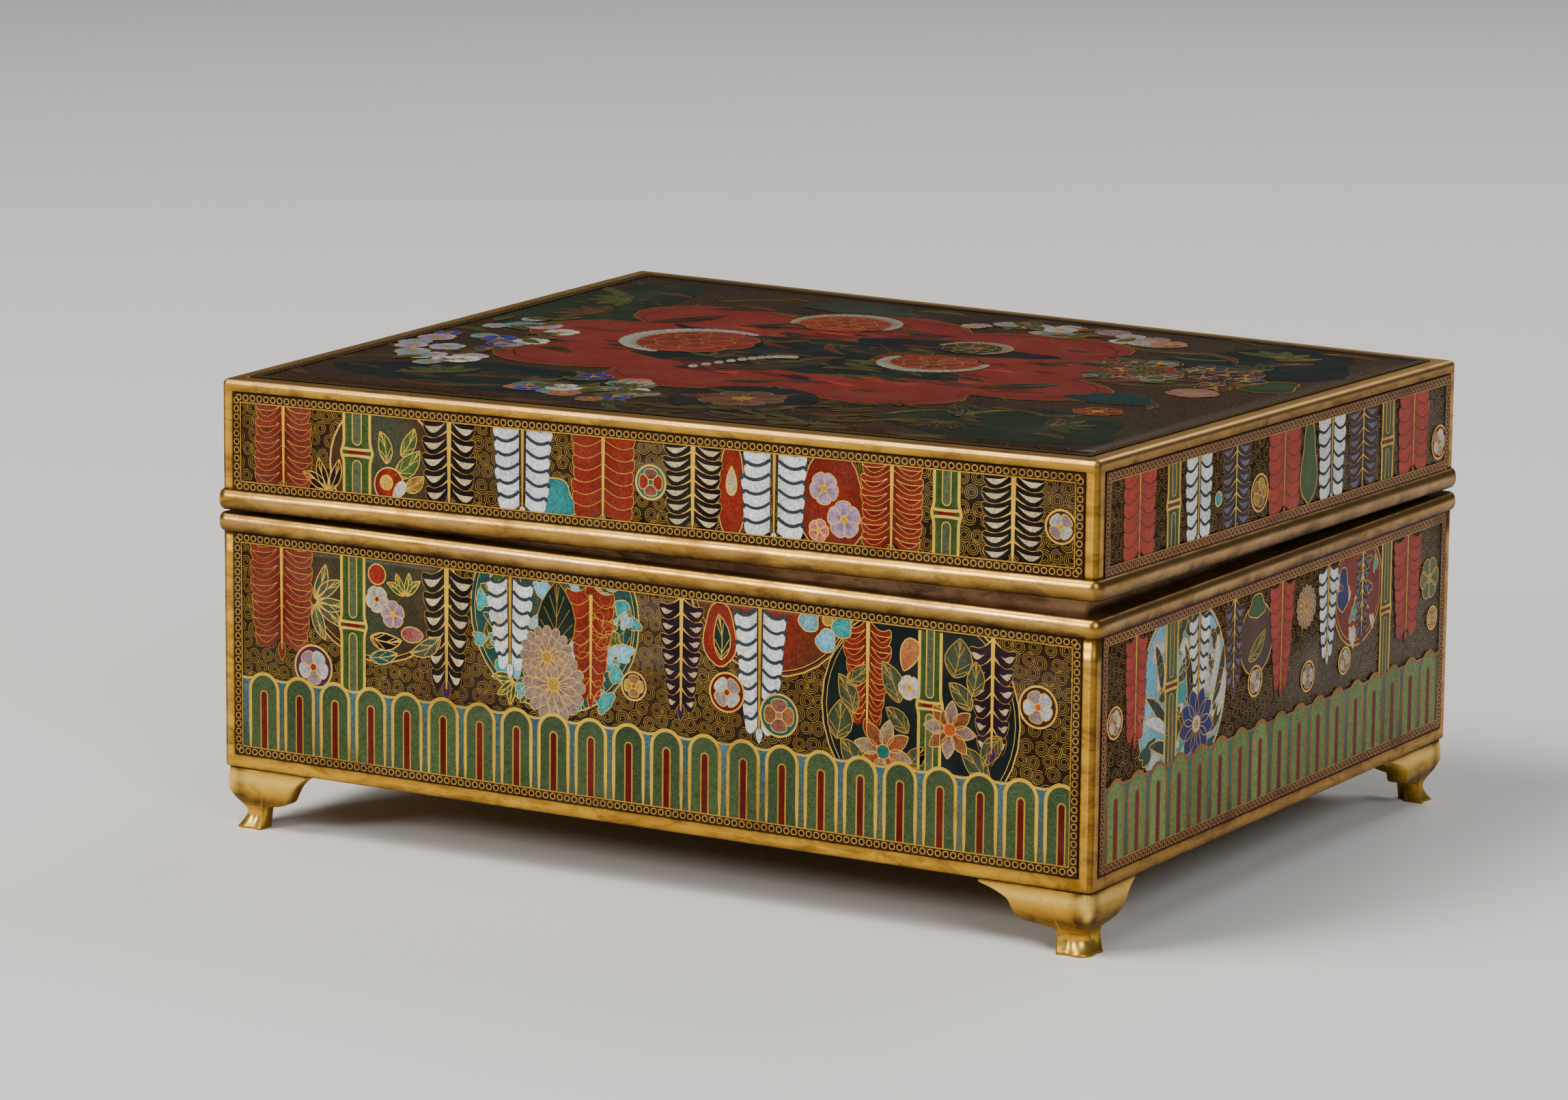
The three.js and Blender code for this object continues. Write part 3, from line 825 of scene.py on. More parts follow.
class Inlay:
    """What lies on one panel: cells of enamel and gilt wires, kept as grids of points with a
    height and a colour. Places are in millimetres, across from the left edge of the box's side
    and down from the top of the panel."""

    def __init__(self, low, high, seed):
        self.low, self.high = xy(*low), xy(*high)
        self.margin = MARGIN
        self.grids = []  # (points (k, rows, columns, 3), tints (k, rows, columns, 3), kind)
        self.covers = []
        self.rng = np.random.default_rng(seed)

    def held(self, flat):
        return np.clip(flat, self.low + self.margin, self.high - self.margin)

    def cell(self, left, right, tints, layer, across=3):
        """A cell between two edges with as many points each. tints is a colour, or an array
        (rows, columns, 3), or one that spreads to it."""
        share = np.linspace(0, 1, across)[None, :, None]
        flat = self.held(left[:, None] * (1 - share) + right[:, None] * share)
        apart = APART * (len(self.covers) % 9)
        height = np.full(flat.shape[:2] + (1,), CELL_LIFT + layer * LAYER_STEP + apart)
        tone = self.rng.uniform(0.86, 1.12)
        tints = np.broadcast_to(tints, flat.shape[:2] + (3,)) * tone
        self.grids.append((np.concatenate([flat, height], -1)[None], tints[None], CELL))
        self.covers.append(np.vstack([left, right[::-1]]))

    def wires(self, paths, width, layer, tint=PLAIN, kind=WIRE, lift=WIRE_LIFT):
        """Low ridged ribbons along paths (k, n, 2), all of one width or a width at each point."""
        ahead = np.gradient(paths, axis=1)
        ahead /= np.maximum(np.linalg.norm(ahead, axis=-1, keepdims=True), 1e-9)
        side = np.stack([ahead[..., 1], -ahead[..., 0]], -1)
        half = np.broadcast_to(np.asarray(width, float) / 2, paths.shape[1:2])[None, :, None, None]
        flat = paths[:, :, None] - side[:, :, None] * half * ACROSS[None, None, :, None]
        flat = self.held(flat)
        low = layer * LAYER_STEP + (CELL_LIFT if layer > 0 else 0) - WIRE_FOOT
        ridge = np.array([low, low + lift, low])
        height = np.broadcast_to(ridge[None, None, :, None], flat.shape[:3] + (1,))
        tints = np.broadcast_to(tint, flat.shape[:3] + (3,))
        self.grids.append((np.concatenate([flat, height], -1), tints, kind))

    def wire(self, path, width, layer, **more):
        self.wires(np.asarray(path)[None], width, layer, **more)

    def ring(self, left, right, width, layer, **more):
        """A wire round a cell, from the start down one edge and back up the other."""
        path = np.vstack([left, right[::-1], left[:1]])
        keep = np.concatenate([[True], np.linalg.norm(np.diff(path, axis=0), axis=1) > 1e-4])
        self.wire(path[keep], width, layer, **more)

    def whorls(self, pitch, turns, steps, width, tint):
        """Coiled wires over the whole ground, in uneven staggered rows, left out where they would
        be hidden: the radius grows evenly with the turn."""
        columns, rows = ((self.high - self.low) / (pitch, pitch * 0.88)).astype(int) + 2
        j, i = np.meshgrid(np.arange(columns), np.arange(rows))
        centres = np.stack([(j + 0.5 * (i % 2)) * pitch, i * pitch * 0.88], -1).reshape(-1, 2)
        centres = self.low + centres + self.rng.uniform(-0.16, 0.16, centres.shape) * pitch
        inside = ((centres > self.low + 0.4) & (centres < self.high - 0.4)).all(1)
        centres = centres[inside]
        hidden = np.ones(len(centres), bool)
        for probe in ((0, 0), (0.9, 0), (-0.9, 0), (0, 0.9), (0, -0.9)):
            hidden &= self.covered(centres + np.array(probe) * pitch / 2)
        centres = centres[~hidden]
        count = len(centres)
        turn = np.linspace(0.25, 1, steps)[None, :] * turns * 2 * np.pi
        start = self.rng.uniform(0, 2 * np.pi, (count, 1))
        hand = self.rng.choice([-1, 1], (count, 1))
        radius = pitch * self.rng.uniform(0.47, 0.56, (count, 1)) * turn / turn.max()
        angle = start + hand * turn
        paths = centres[:, None] + np.stack([np.cos(angle), np.sin(angle)], -1) * radius[..., None]
        self.wires(paths, width, 0, tint=tint, lift=WHORL_LIFT)

    def covered(self, places):
        """Which places lie under a cell: the even-odd rule on every cell's outline."""
        under = np.zeros(len(places), bool)
        for outline in self.covers:
            low, high = outline.min(0), outline.max(0)
            near = np.flatnonzero(((places >= low) & (places <= high)).all(1) & ~under)
            if not len(near):
                continue
            x, y = places[near].T[:, :, None]
            a, b = outline, np.roll(outline, -1, axis=0)
            rise = np.where(b[:, 1] == a[:, 1], 1e-9, b[:, 1] - a[:, 1])
            crosses = ((a[:, 1] > y) != (b[:, 1] > y)) & (
                x < (b[:, 0] - a[:, 0]) * (y - a[:, 1]) / rise + a[:, 0])
            under[near] = crosses.sum(1) % 2 == 1
        return under


def turned(points, at, degrees):
    c, s = heading(math.radians(degrees))
    return xy(*at) + np.asarray(points) @ np.array([[c, s], [-s, c]])


def blended(first, second, share):
    share = np.asarray(share, float)[..., None]
    return first * (1 - share) + second * share


SPINDLE_ROWS = 9


def spindle(start, end, width, blunt=(1.0, 1.0), bend=0.0):
    """Edges of a leaf or petal from start to end: the half width is t^a (1-t)^b, brought to
    its full size, and the midline bows sideways by a share of the length."""
    start, end = np.asarray(start, float), np.asarray(end, float)
    t = 0.5 - 0.5 * np.cos(np.linspace(0, np.pi, SPINDLE_ROWS))
    a, b = blunt
    peak = a / (a + b)
    half = width / 2 * t ** a * (1 - t) ** b / (peak ** a * (1 - peak) ** b)
    way = end - start
    side = np.array([-way[1], way[0]]) / max(np.linalg.norm(way), 1e-9)
    middle = start + t[:, None] * way + (4 * t * (1 - t) * bend * np.linalg.norm(way))[:, None] * side
    ahead = np.gradient(middle, axis=0)
    ahead /= np.maximum(np.linalg.norm(ahead, axis=1, keepdims=True), 1e-9)
    side = np.column_stack([-ahead[:, 1], ahead[:, 0]])
    return middle - side * half[:, None], middle + side * half[:, None], middle


def petal(inlay, start, end, width, colour, edge, layer, blunt=(0.8, 0.45), bend=0.0, wire=0.16):
    """A petal whose colour runs from its foot to its rim, with a wire round it."""
    left, right, _ = spindle(start, end, width, blunt, bend)
    t = np.linspace(0, 1, len(left))[:, None] + np.abs(ACROSS)[None] * 0.35
    inlay.cell(left, right, blended(edge, colour, np.clip(t * 1.3, 0, 1)), layer)
    inlay.ring(left, right, wire, layer)


def disc(inlay, at, radius, colour, layer, rim=None, across=5, wire=0.2, second=None):
    """A round cell between its left and right edges, with its wire and an inner line."""
    turn = np.linspace(0, np.pi, 17 if radius > 2 else 11)
    edge = np.column_stack([np.sin(turn), -np.cos(turn)]) * radius
    left, right = xy(*at) - edge * (1, -1), xy(*at) + edge
    away = np.abs(np.linspace(-1, 1, across))[None] * np.ones((len(turn), 1))
    inlay.cell(left, right, blended(colour, colour if rim is None else rim, away), layer, across)
    if wire:
        inlay.ring(left, right, wire, layer)
    if second:
        around = np.linspace(0, 2 * np.pi, 41)
        inlay.wire(xy(*at) + circle(around) * (radius - second[0]), second[1], layer, **second[2])


def arc_wire(inlay, at, radius, start, end, width, layer, **more):
    around = np.radians(np.linspace(start, end, max(int(abs(end - start) / 8), 4)))
    inlay.wire(xy(*at) + circle(around) * radius, width, layer, **more)


RACEMES = {  # a lobe, its colour at the stem, its drop, (tint, kind, width) of its line, the stem
    "white": (WHITE * 1.15, WHITE * 0.8, None, (GREY_BLUE * 0.25, CELL, 0.62), 0.40),
    "red": (BRICK * 0.82, BRICK * 0.6, None, (PLAIN * 0.75, WIRE, 0.11), 0.45),
    "veined": (BRICK * 0.85, DEEP_RED, DEEP_RED * 1.2, (PLAIN * 0.75, WIRE, 0.12), 0.5),
    "faded": (FADED_RED * 0.8, DEEP_RED, FADED_RED * 0.6, (PLAIN * 0.55, WIRE, 0.11), 0.45),
    "black": (BLACK, BLACK, CREAM, (PLAIN * 0.5, WIRE, 0.09), 0.66),
    "snow": (WHITE * 1.2, WHITE, None, (BLACK, CELL, 0.55), 0.40),
    "dusk": (AUBERGINE * 1.3, BLACK, LILAC * 0.4, (PLAIN * 0.4, WIRE, 0.09), 0.35),
    "bright": (BRICK * 1.5, BRICK * 1.1, None, (DEEP_RED * 0.4, CELL, 0.16), 0.3),
    "purple": (AUBERGINE, BLACK, CREAM * 0.8, (PLAIN * 0.45, WIRE, 0.09), 0.5),
}


LEAN = 0.75  # how far a lobe hangs down, as a share of the pitch


def raceme(inlay, stem, top, bottom, reach, pitch, kind, taper):
    """A hanging raceme: on each side of a gilt stem, rows of lobes whose midline leaves the stem,
    dips to its lowest at three fifths of its length and turns up a little to a round end. Dark
    ones carry a drop in each lobe, pointed at the stem and round at its outer end."""
    lobe, shade, drop, (tone, line, fine), trunk = RACEMES[kind]
    layer = 3
    dark = kind in ("black", "purple", "dusk")
    white = kind in ("white", "snow")
    gap = 0.13 if white else 0.0
    rows = max(int(round((bottom - top) / pitch)), 2)
    pitch = (bottom - top) / rows
    turn_at = 1 - pitch * (0.42 if dark else 0.26) / reach
    t = np.concatenate([np.linspace(gap, turn_at, 7),
                        turn_at + (1 - turn_at) * np.sin(np.linspace(0.35, np.pi / 2, 5))])
    dip = np.sin(t * np.pi / 1.24)
    thick = np.sqrt(np.clip(1 - (np.clip(t - turn_at, 0, 1) / (1.004 - turn_at)) ** 2, 0, 1))
    if dark:
        thick *= 0.72 + 0.28 * np.clip(t / 0.4, 0, 1) - 0.1 * np.clip((t - 0.5) * 2, 0, 1)
    for row in range(rows):
        down = (row + 0.5) / rows
        wide = reach * (1 - (1 - taper) * down ** 1.6)
        level = top + (row + 0.15) * pitch
        for side in (-1, 1):
            wave = 1 + inlay.rng.uniform(-0.05, 0.05)
            middle = np.column_stack([stem + side * t * wide * wave, level + pitch * LEAN * dip])
            half = np.column_stack([0 * t, thick * pitch * 0.5])
            upper, lower = middle - half, middle + half
            if upper[:, 1].min() > inlay.high[1] - 0.4:
                continue
            near = np.clip(1 - t / 0.45, 0, 1)[:, None] + np.array([0.35, 0.0, 0.12])
            edges = (upper, lower) if side > 0 else (lower, upper)
            inlay.cell(*edges, blended(lobe, shade, np.clip(near, 0, 1)), layer)
            inlay.wire(upper, fine, layer, tint=tone, kind=line)
            if not white:
                tip = np.vstack([upper[-3:], lower[::-1][:6]])
                inlay.wire(tip, fine * 0.9, layer, tint=tone, kind=line)
            if dark:
                inlay.wire(upper[:4], np.linspace(0.24, 0.1, 4), layer + 0.2)
            if drop is not None:
                first = 0.4 if kind == "purple" else 0.13
                share = np.clip((t - first) / (0.9 - first), 0, 1)
                body = np.sin(np.pi * share ** 1.55) ** 0.9 * pitch * (0.19 if dark else 0.17)
                seed = np.column_stack([0 * t, body + 0.015])
                use = np.flatnonzero(t > first - 0.1)
                pair = (middle - side * seed)[use], (middle + side * seed)[use]
                inlay.cell(*pair, drop, layer + 0.6)
                if not dark:
                    inlay.ring(*pair, 0.09, layer + 0.6, tint=tone)
    trunk_at = np.linspace(top + (0.5 * pitch if kind == "red" else -0.6), bottom + 0.35 * pitch, 12)
    path = np.column_stack([np.full(12, stem), trunk_at])
    if white:
        inlay.wire(path, np.linspace(0.95, 0.4, 12), layer + 0.5, tint=BROWN * 0.8, kind=CELL,
                   lift=0.006)
    width = trunk * (1.1 - 0.6 * np.linspace(0, 1, 12))
    shine = 0.8 if white or kind == "bright" else 1.1
    inlay.wire(path, width, layer + 1, lift=0.026, tint=AMBER * shine)
    left, right, _ = spindle((stem, bottom - 0.1 * pitch), (stem, bottom + 1.05 * pitch),
                             pitch * 0.55, (0.6, 0.9))
    inlay.cell(left, right, PURPLE * 0.6 if dark else blended(lobe, shade, 0.3), layer + 1.2)
    inlay.ring(left, right, 0.1, layer + 1.2, tint=tone, kind=line)


def bamboo(inlay, middle, top, bottom, width, nodes, layer):
    """A bamboo stem: deep green between two broad gilt lines that flare at each node, a pale strip
    with round ends in each length, and a dark red lens between two gilt lines at the node."""
    v = np.linspace(top, bottom, 48)
    flare = sum(np.exp(-((v - node) / 0.8) ** 2) * 0.2 for node in nodes)
    half = width / 2 * (1 + flare)
    left, right = strip(middle, half, v)
    inlay.cell(left, right, blended(GREEN * 0.7, LEAF, np.abs(ACROSS))[None], layer)
    for edge in (left, right):
        inlay.wire(edge, 0.44, layer, lift=0.024, tint=AMBER * 1.1)
    cuts = [top - 1.5, *nodes, bottom + 1.5]
    for above, below in zip(cuts, cuts[1:]):
        sides = capsule(middle, width * 0.17, above + 1.0, below - 1.0)
        inlay.cell(*sides, GREY_GREEN * 0.65, layer + 0.4)
        inlay.ring(*sides, 0.2, layer + 0.4, tint=PLAIN * 0.8)
    across = np.linspace(-1, 1, 9)
    for node in nodes:
        left, right, _ = spindle((middle - width * 0.42, node), (middle + width * 0.42, node), 0.8)
        inlay.cell(left, right, DEEP_RED, layer + 0.8)
        for offset in (-0.5, 0.5):
            bow = node + offset * (0.75 + 0.25 * across ** 2)
            inlay.wire(np.column_stack([middle + across * width * 0.6, bow]), 0.36, layer + 1)


def leaf(inlay, start, end, width, colour, layer=4, bend=0.08, veins=4, wire=0.15, tint=PLAIN):
    """A pointed leaf with a midrib and slanting veins."""
    left, right, middle = spindle(start, end, width, (0.75, 0.95), bend)
    inlay.cell(left, right, blended(colour, colour * 0.6, np.abs(ACROSS))[None], layer)
    inlay.ring(left, right, wire, layer, tint=tint)
    inlay.wire(middle[:-1], wire * 0.7, layer + 0.3, tint=tint)
    for k in range(veins):
        i = int(1 + k * (len(middle) - 3) / max(veins, 1))
        j = min(i + 2, len(middle) - 1)
        for edge in (left, right):
            vein = np.linspace(middle[i], middle[i] * 0.15 + edge[j] * 0.85, 3)
            inlay.wire(vein, wire * 0.6, layer + 0.2, tint=tint)


def spray(inlay, at, size, colour, angles, layer):
    """Leaves spread from one point like a fan."""
    for k, angle in enumerate(angles):
        way = heading(math.radians(angle))
        tone = colour * (0.8 + 0.4 * ((k * 7) % 5) / 4)
        leaf(inlay, xy(*at) + way * size * 0.08, xy(*at) + way * size, size * 0.34, tone, layer,
             0.06 * (-1) ** k, 2)


def blossom(inlay, at, radius, colour, edge, eye, petals=5, layer=5, turn=0.0,
            blunt=(0.8, 0.45), full=0.84, other=None):
    """An open flower: petals with the ground between them, every second one in another colour,
    round a small eye."""
    tones = (colour, colour if other is None else other)
    for k in range(petals):
        way = heading(math.radians(turn + 360 * k / petals))
        wide = 2 * radius * math.sin(math.pi / petals) * full
        petal(inlay, xy(*at) + way * radius * 0.14, xy(*at) + way * radius, wide, tones[k % 2], edge,
              layer, blunt, wire=0.13)
    disc(inlay, at, radius * 0.22, eye, layer + 0.7, wire=0.12)


def chrysanthemum(inlay, at, radius, colour, edge, eye, layer=5):
    """Three rings of narrow round-ended petals round a small eye."""
    disc(inlay, at, radius * 0.9, edge * 0.5, layer - 0.4, wire=0)
    for ring, (reach, count) in enumerate(((1.0, 16), (0.72, 13), (0.45, 9))):
        for k in range(count):
            way = heading(math.radians(360 * (k + 0.5 * ring) / count))
            foot = xy(*at) + way * radius * 0.15
            petal(inlay, foot, xy(*at) + way * radius * reach, radius * 0.32 * reach, colour, edge,
                  layer + ring * 0.6, (0.9, 0.4), wire=0.09)
    disc(inlay, at, radius * 0.17, eye, layer + 2.4, wire=0.1)


def roundel(inlay, at, radius, colour, rim=None):
    """A large round field inside a double line, gilt and dark."""
    layer = 1
    disc(inlay, at, radius, colour, layer, rim, across=9, wire=0.2,
         second=(0.45, 0.16, dict(tint=BLACK, kind=CELL)))
    arc_wire(inlay, at, radius - 0.62, 0, 360, 0.12, layer)


def small_roundel(inlay, at, radius, ground, flower, eye, petals=4, layer=5, turn=0.0):
    """A little gilt ring with a simple flower in it."""
    disc(inlay, at, radius, ground, layer, wire=0.3)
    blossom(inlay, at, radius * 0.8, flower, flower * 0.35, eye, petals, layer + 0.8, turn, full=0.78,
            other=blended(flower, PINK, 0.55) * 0.6)


def field(inlay, at, edge, colour, rim, layer, wire=0.16, tint=PLAIN, rings=4):
    """A cell of any star shape, as rings between its middle and its closed edge."""
    at = xy(*at)
    away = np.linspace(0, 1, rings)[None] * np.ones((len(edge), 1))
    inlay.cell(np.broadcast_to(at, edge.shape), edge, blended(colour, rim, away ** 2), layer, rings)
    if wire:
        inlay.wire(edge, wire, layer, tint=tint)


def undergrowth(inlay, low, high, colours, count, length, layer, tint):
    """Long thin leaves lying mostly along the box, thickly strewn over a rectangle."""
    for k in range(count):
        at = inlay.rng.uniform(low, high)
        angle = math.radians(inlay.rng.normal(0, 28))
        way = heading(angle) * length * inlay.rng.uniform(0.6, 1.3) / 2
        leaf(inlay, at - way, at + way, inlay.rng.uniform(1.0, 2.0), colours[k % len(colours)],
             layer + k % 4 * 0.5, 0.12 * (-1) ** k, 2, 0.12, tint)


def patch(inlay, at, radii, colour, layer=2, turn=0.0, wobble=0.12, wire=0.16, phase=0.0,
          tint=PLAIN):
    """A free rounded patch: an oval whose edge swells and draws in a few times."""
    angle = np.linspace(0, 2 * np.pi, 25)
    r = 1 + wobble * np.sin(3 * angle + phase) + wobble * 0.6 * np.sin(5 * angle + 2 * phase)
    edge = circle(angle) * radii * r[:, None]
    field(inlay, at, turned(edge, at, turn), colour, colour * 0.7, layer, wire, tint, 3)


def shards(inlay, at, radius, colours, count, layer=2, wire=0.14, inner=0.15):
    """Small broken pieces of colour scattered in a round field, as between leaves."""
    for _ in range(count):
        angle = inlay.rng.uniform(0, 2 * np.pi)
        away = radius * math.sqrt(inlay.rng.uniform(inner ** 2, 1))
        place = xy(*at) + away * heading(angle)
        big = inlay.rng.uniform(0.5, 1.3) * radius * 0.09 + 0.25
        colour = colours[inlay.rng.integers(len(colours))]
        patch(inlay, place, (big * 1.5, big * 0.9), colour, layer + inlay.rng.uniform(0, 0.9),
              inlay.rng.uniform(0, 180), 0.26, wire, inlay.rng.uniform(0, 6))


def arch(middle, half, top, bottom):
    """Edges of an upright round-topped field, left and right."""
    t = np.concatenate([np.sin(np.linspace(0, np.pi / 2, 11)), [1.3, 2, 3]])
    rise = 1 - np.sqrt(np.clip(1 - np.clip(t, 0, 1) ** 2, 0, 1))
    v = top + rise * half
    v[-3:] = np.linspace(v[-4], bottom, 4)[1:]
    wide = np.clip(t, 0, 1) * half
    return strip(middle, wide, v)


LAPPET = dict(pitch=5.5, width=4.25, wire=0.5, core=0.5)


def lappets(inlay, first, pitch, count, field, between, core, shine=1.0):
    """A band of round-topped lappets: green fields in broad gilt arches, each with a dark red
    core between two fine lines, and narrow slate strips between them under a hanging line."""
    layer, top, bottom = 6, LAPPET_TOP, LAPPET_END
    for k in range(-1, count):
        middle = first + (k + 0.5) * pitch
        half = (pitch - LAPPET["width"]) / 2
        v = np.linspace(top + 0.45, bottom, 8)
        left, right = strip(middle, half, v)
        tone = between * inlay.rng.uniform(0.8, 1.2)
        fade = np.linspace(0, 1, len(left))[:, None] * np.ones((1, 3))
        inlay.cell(left, right, blended(tone, GREY_GREEN * inlay.rng.uniform(0.4, 0.7), fade), layer)
        share = np.linspace(-1, 1, 7)
        sag = np.column_stack([middle + share * (half + 0.8), top + 0.75 - 0.3 * share ** 2])
        inlay.wire(sag, 0.3, layer + 0.3, tint=AMBER * shine)
    for k in range(count):
        middle = first + k * pitch
        tone = field * inlay.rng.uniform(0.85, 1.15)
        left, right = arch(middle, LAPPET["width"] / 2, top, bottom)
        fade = np.linspace(0.45, 0, len(left))[:, None] * np.ones((1, 3))
        inlay.cell(left, right, blended(tone, tone * 0.55 + between * 0.15, fade), layer + 0.6)
        inlay.ring(left, right, LAPPET["wire"], layer + 0.6, lift=0.028, tint=AMBER * shine)
        left, right = arch(middle, LAPPET["core"], top + 2.2, bottom)
        inlay.cell(left, right, core * inlay.rng.uniform(0.8, 1.2, 3), layer + 0.9)
        inlay.ring(left, right, 0.24, layer + 0.9, tint=PLAIN * 0.6 * shine)


CHAIN = 1.06  # pitch of the border's rings
CHAIN_BAND = 1.15
CHAIN_IN, CHAIN_END = 0.54, 0.4  # the rings' middles from the panel's edge, and from its corners
RING_R, DOT_R = 0.38, 0.11


def chain_border(inlay, ground=BROWN * 0.5, tint=PLAIN * 0.58):
    """The border: a brown band inside a gilt line, with a row of little gilt rings round dark dots."""
    layer, low, high = 9, inlay.low, inlay.high
    held, inlay.margin = inlay.margin, 0.0
    corners = np.array([low, [high[0], low[1]], high, [low[0], high[1]]])
    inner = corners + np.array([[1, 1], [-1, 1], [-1, -1], [1, -1]]) * CHAIN_BAND
    around = np.linspace(0, 2 * np.pi, 9)[:, None]
    for k in range(4):
        a, b = corners[k], corners[(k + 1) % 4]
        c, d = inner[k], inner[(k + 1) % 4]
        share = np.linspace(0, 1, 9)[:, None]
        inlay.cell(a + (b - a) * share, c + (d - c) * share, ground, layer)
        inlay.wire(c + (d - c) * share, 0.16, layer + 0.3, tint=tint)
        way = (b - a) / np.linalg.norm(b - a)
        out = np.array([-way[1], way[0]])
        length = np.linalg.norm(b - a) - 2 * CHAIN_END
        count = int(round(length / CHAIN))
        along = CHAIN_END + (np.arange(count)[:, None] + 0.5) * length / count
        middles = a + out * CHAIN_IN + way * along
        circle = np.cos(around) * way + np.sin(around) * out
        inlay.wires(middles[:, None] + circle[None] * RING_R, 0.17, layer + 0.3, tint=tint)
        inlay.wires(middles[:, None] + circle[None] * DOT_R, 0.22, layer + 0.1, tint=BLACK, kind=CELL)
    inlay.margin = held


# ---------------------------------------------------------------- panels


# Bands of the baked surface map, from low to high, for each kind of face.
BAKE_GROUND, BAKE_BACK, BAKE_CELLS, BAKE_WIRES = (0.01, 0.36), (0.37, 0.39), (0.40, 0.70), (0.71, 0.99)
BAKE_LEFT, BAKE_WIDE = 0.01, 0.98  # the bands lie between these across the map


def slab(low, high, thick, spacing):
    """The fused enamel itself, as a closed block: grids on its face and back, joined at the edges."""
    columns, rows = (np.maximum(((high - low) / spacing).astype(int), 1) + 1)
    u, v = np.meshgrid(np.linspace(low[0], high[0], columns), np.linspace(low[1], high[1], rows))
    face = np.stack([u, v, np.zeros_like(u)], -1).reshape(-1, 3)
    back = face - (0, 0, thick)
    count = len(face)
    front_faces = grid_faces(rows, columns)[:, ::-1]
    edge = np.arange(count).reshape(rows, columns)
    ring = np.concatenate([edge[0, :-1], edge[:-1, -1], edge[-1, :0:-1], edge[:0:-1, 0]])
    walls = np.stack([ring, np.roll(ring, -1), np.roll(ring, -1) + count, ring + count], 1)
    others = np.vstack([grid_faces(rows, columns, first=count), walls])
    flat = (face[:, :2] - low) / (high - low)
    planar = np.column_stack([BAKE_LEFT + BAKE_WIDE * flat[:, 0],
                              BAKE_GROUND[0] + (BAKE_GROUND[1] - BAKE_GROUND[0]) * flat[:, 1]])
    small = slot_places(len(others), 0, len(others), 2, 2, BAKE_BACK)
    small = small.reshape(-1, 4, 2)[:, [0, 1, 3, 2]]
    return np.vstack([face, back]), front_faces, others, planar[front_faces], small


def panel_piece(name, inlay, place, materials, spacing=200.0):
    """One enamel panel: its block, its cells and its wires in one mesh, set in place on the box."""
    thick = ENAMEL_T - FACE_SET
    points, front, others, front_bake, other_bake = slab(inlay.low, inlay.high, thick, spacing)
    points, tints = [points], [np.ones((len(points), 3))]
    faces, kinds = [front, others], [np.full(len(front) + len(others), GROUND)]
    bakes = [front_bake.reshape(-1, 2), other_bake.reshape(-1, 2)]
    first = len(points[0])
    totals = {kind: sum(len(g[0]) for g in inlay.grids if g[2] == kind) for kind in (CELL, WIRE)}
    done = {CELL: 0, WIRE: 0}
    spans = {CELL: BAKE_CELLS, WIRE: BAKE_WIRES}
    for grids, colours, kind in inlay.grids:
        count, rows, columns = grids.shape[:3]
        one = grid_faces(rows, columns)
        numbers = first + np.arange(count)[:, None, None] * rows * columns + one[None]
        a, b, d = grids[:, :-1, :-1, :2], grids[:, :-1, 1:, :2], grids[:, 1:, :-1, :2]
        cross = (b - a)[..., 0] * (d - a)[..., 1] - (b - a)[..., 1] * (d - a)[..., 0]
        flip = cross.sum((1, 2)) > 0
        slots = slot_places(totals[kind], done[kind], count, columns, rows, spans[kind])
        places = slots.reshape(count, -1, 2)[:, one]
        numbers[flip] = numbers[flip][:, :, ::-1]
        places[flip] = places[flip][:, :, ::-1]
        points.append(grids.reshape(-1, 3))
        tints.append(np.broadcast_to(colours, grids.shape).reshape(-1, 3))
        faces.append(numbers.reshape(-1, 4))
        kinds.append(np.full(count * len(one), kind))
        bakes.append(places.reshape(-1, 2))
        first += count * rows * columns
        done[kind] += count
    flat = np.vstack(points)
    return make_piece(name, place(flat), faces, materials, np.concatenate(kinds), True,
                      np.vstack(tints), np.vstack(bakes))


def slot_places(total, done, count, columns, rows, span):
    """Slots of their own, row by row, for the grids numbered from `done` on, out of `total` in a
    band of the baked surface map."""
    wide = max(int(math.ceil(math.sqrt(total * BAKE_WIDE / (span[1] - span[0])))), 1)
    tall = int(math.ceil(total / wide))
    slot = xy(BAKE_WIDE, span[1] - span[0]) / (wide, tall)
    k = done + np.arange(count)
    corner = np.stack([k % wide, k // wide], -1) * slot + (BAKE_LEFT, span[0])
    share = np.stack(np.meshgrid(np.linspace(0.1, 0.9, columns), np.linspace(0.1, 0.9, rows)), -1)
    return corner[:, None, None] + share[None] * slot


def side_place(k, top, lifted):
    """Turns (across, down, out) on side k into places on the box."""
    def place(points):
        u, v, h = points.T
        flat = SIDE_ALONG[k] * (u - SIDE_HALF[k])[:, None] + SIDE_OUT[k] * (
            SIDE_REACH[k] - FACE_SET + h)[:, None]
        z = top - v
        if lifted:
            z = z + lift(*flat.T)
        return np.column_stack([flat, z])
    return place


def top_place(points):
    """Turns (across, forward from the back, up) on the lid's top into places on the box."""
    u, v, h = points.T
    x, y = u - LENGTH / 2, DEPTH / 2 - v
    return np.column_stack([x, y, LID_TOP - FACE_SET + h + lift(x, y)])


# ---------------------------------------------------------------- pictures

BASE_PANEL_H = PANEL_HIGH[2] - PANEL_LOW[2]
LID_PANEL_H = LID_H - LID_STRIP - SEAM
SIDE_MARGIN = STRIP + SEAM
LAPPET_TOP, LAPPET_END = 18.0, BASE_PANEL_H - 0.9


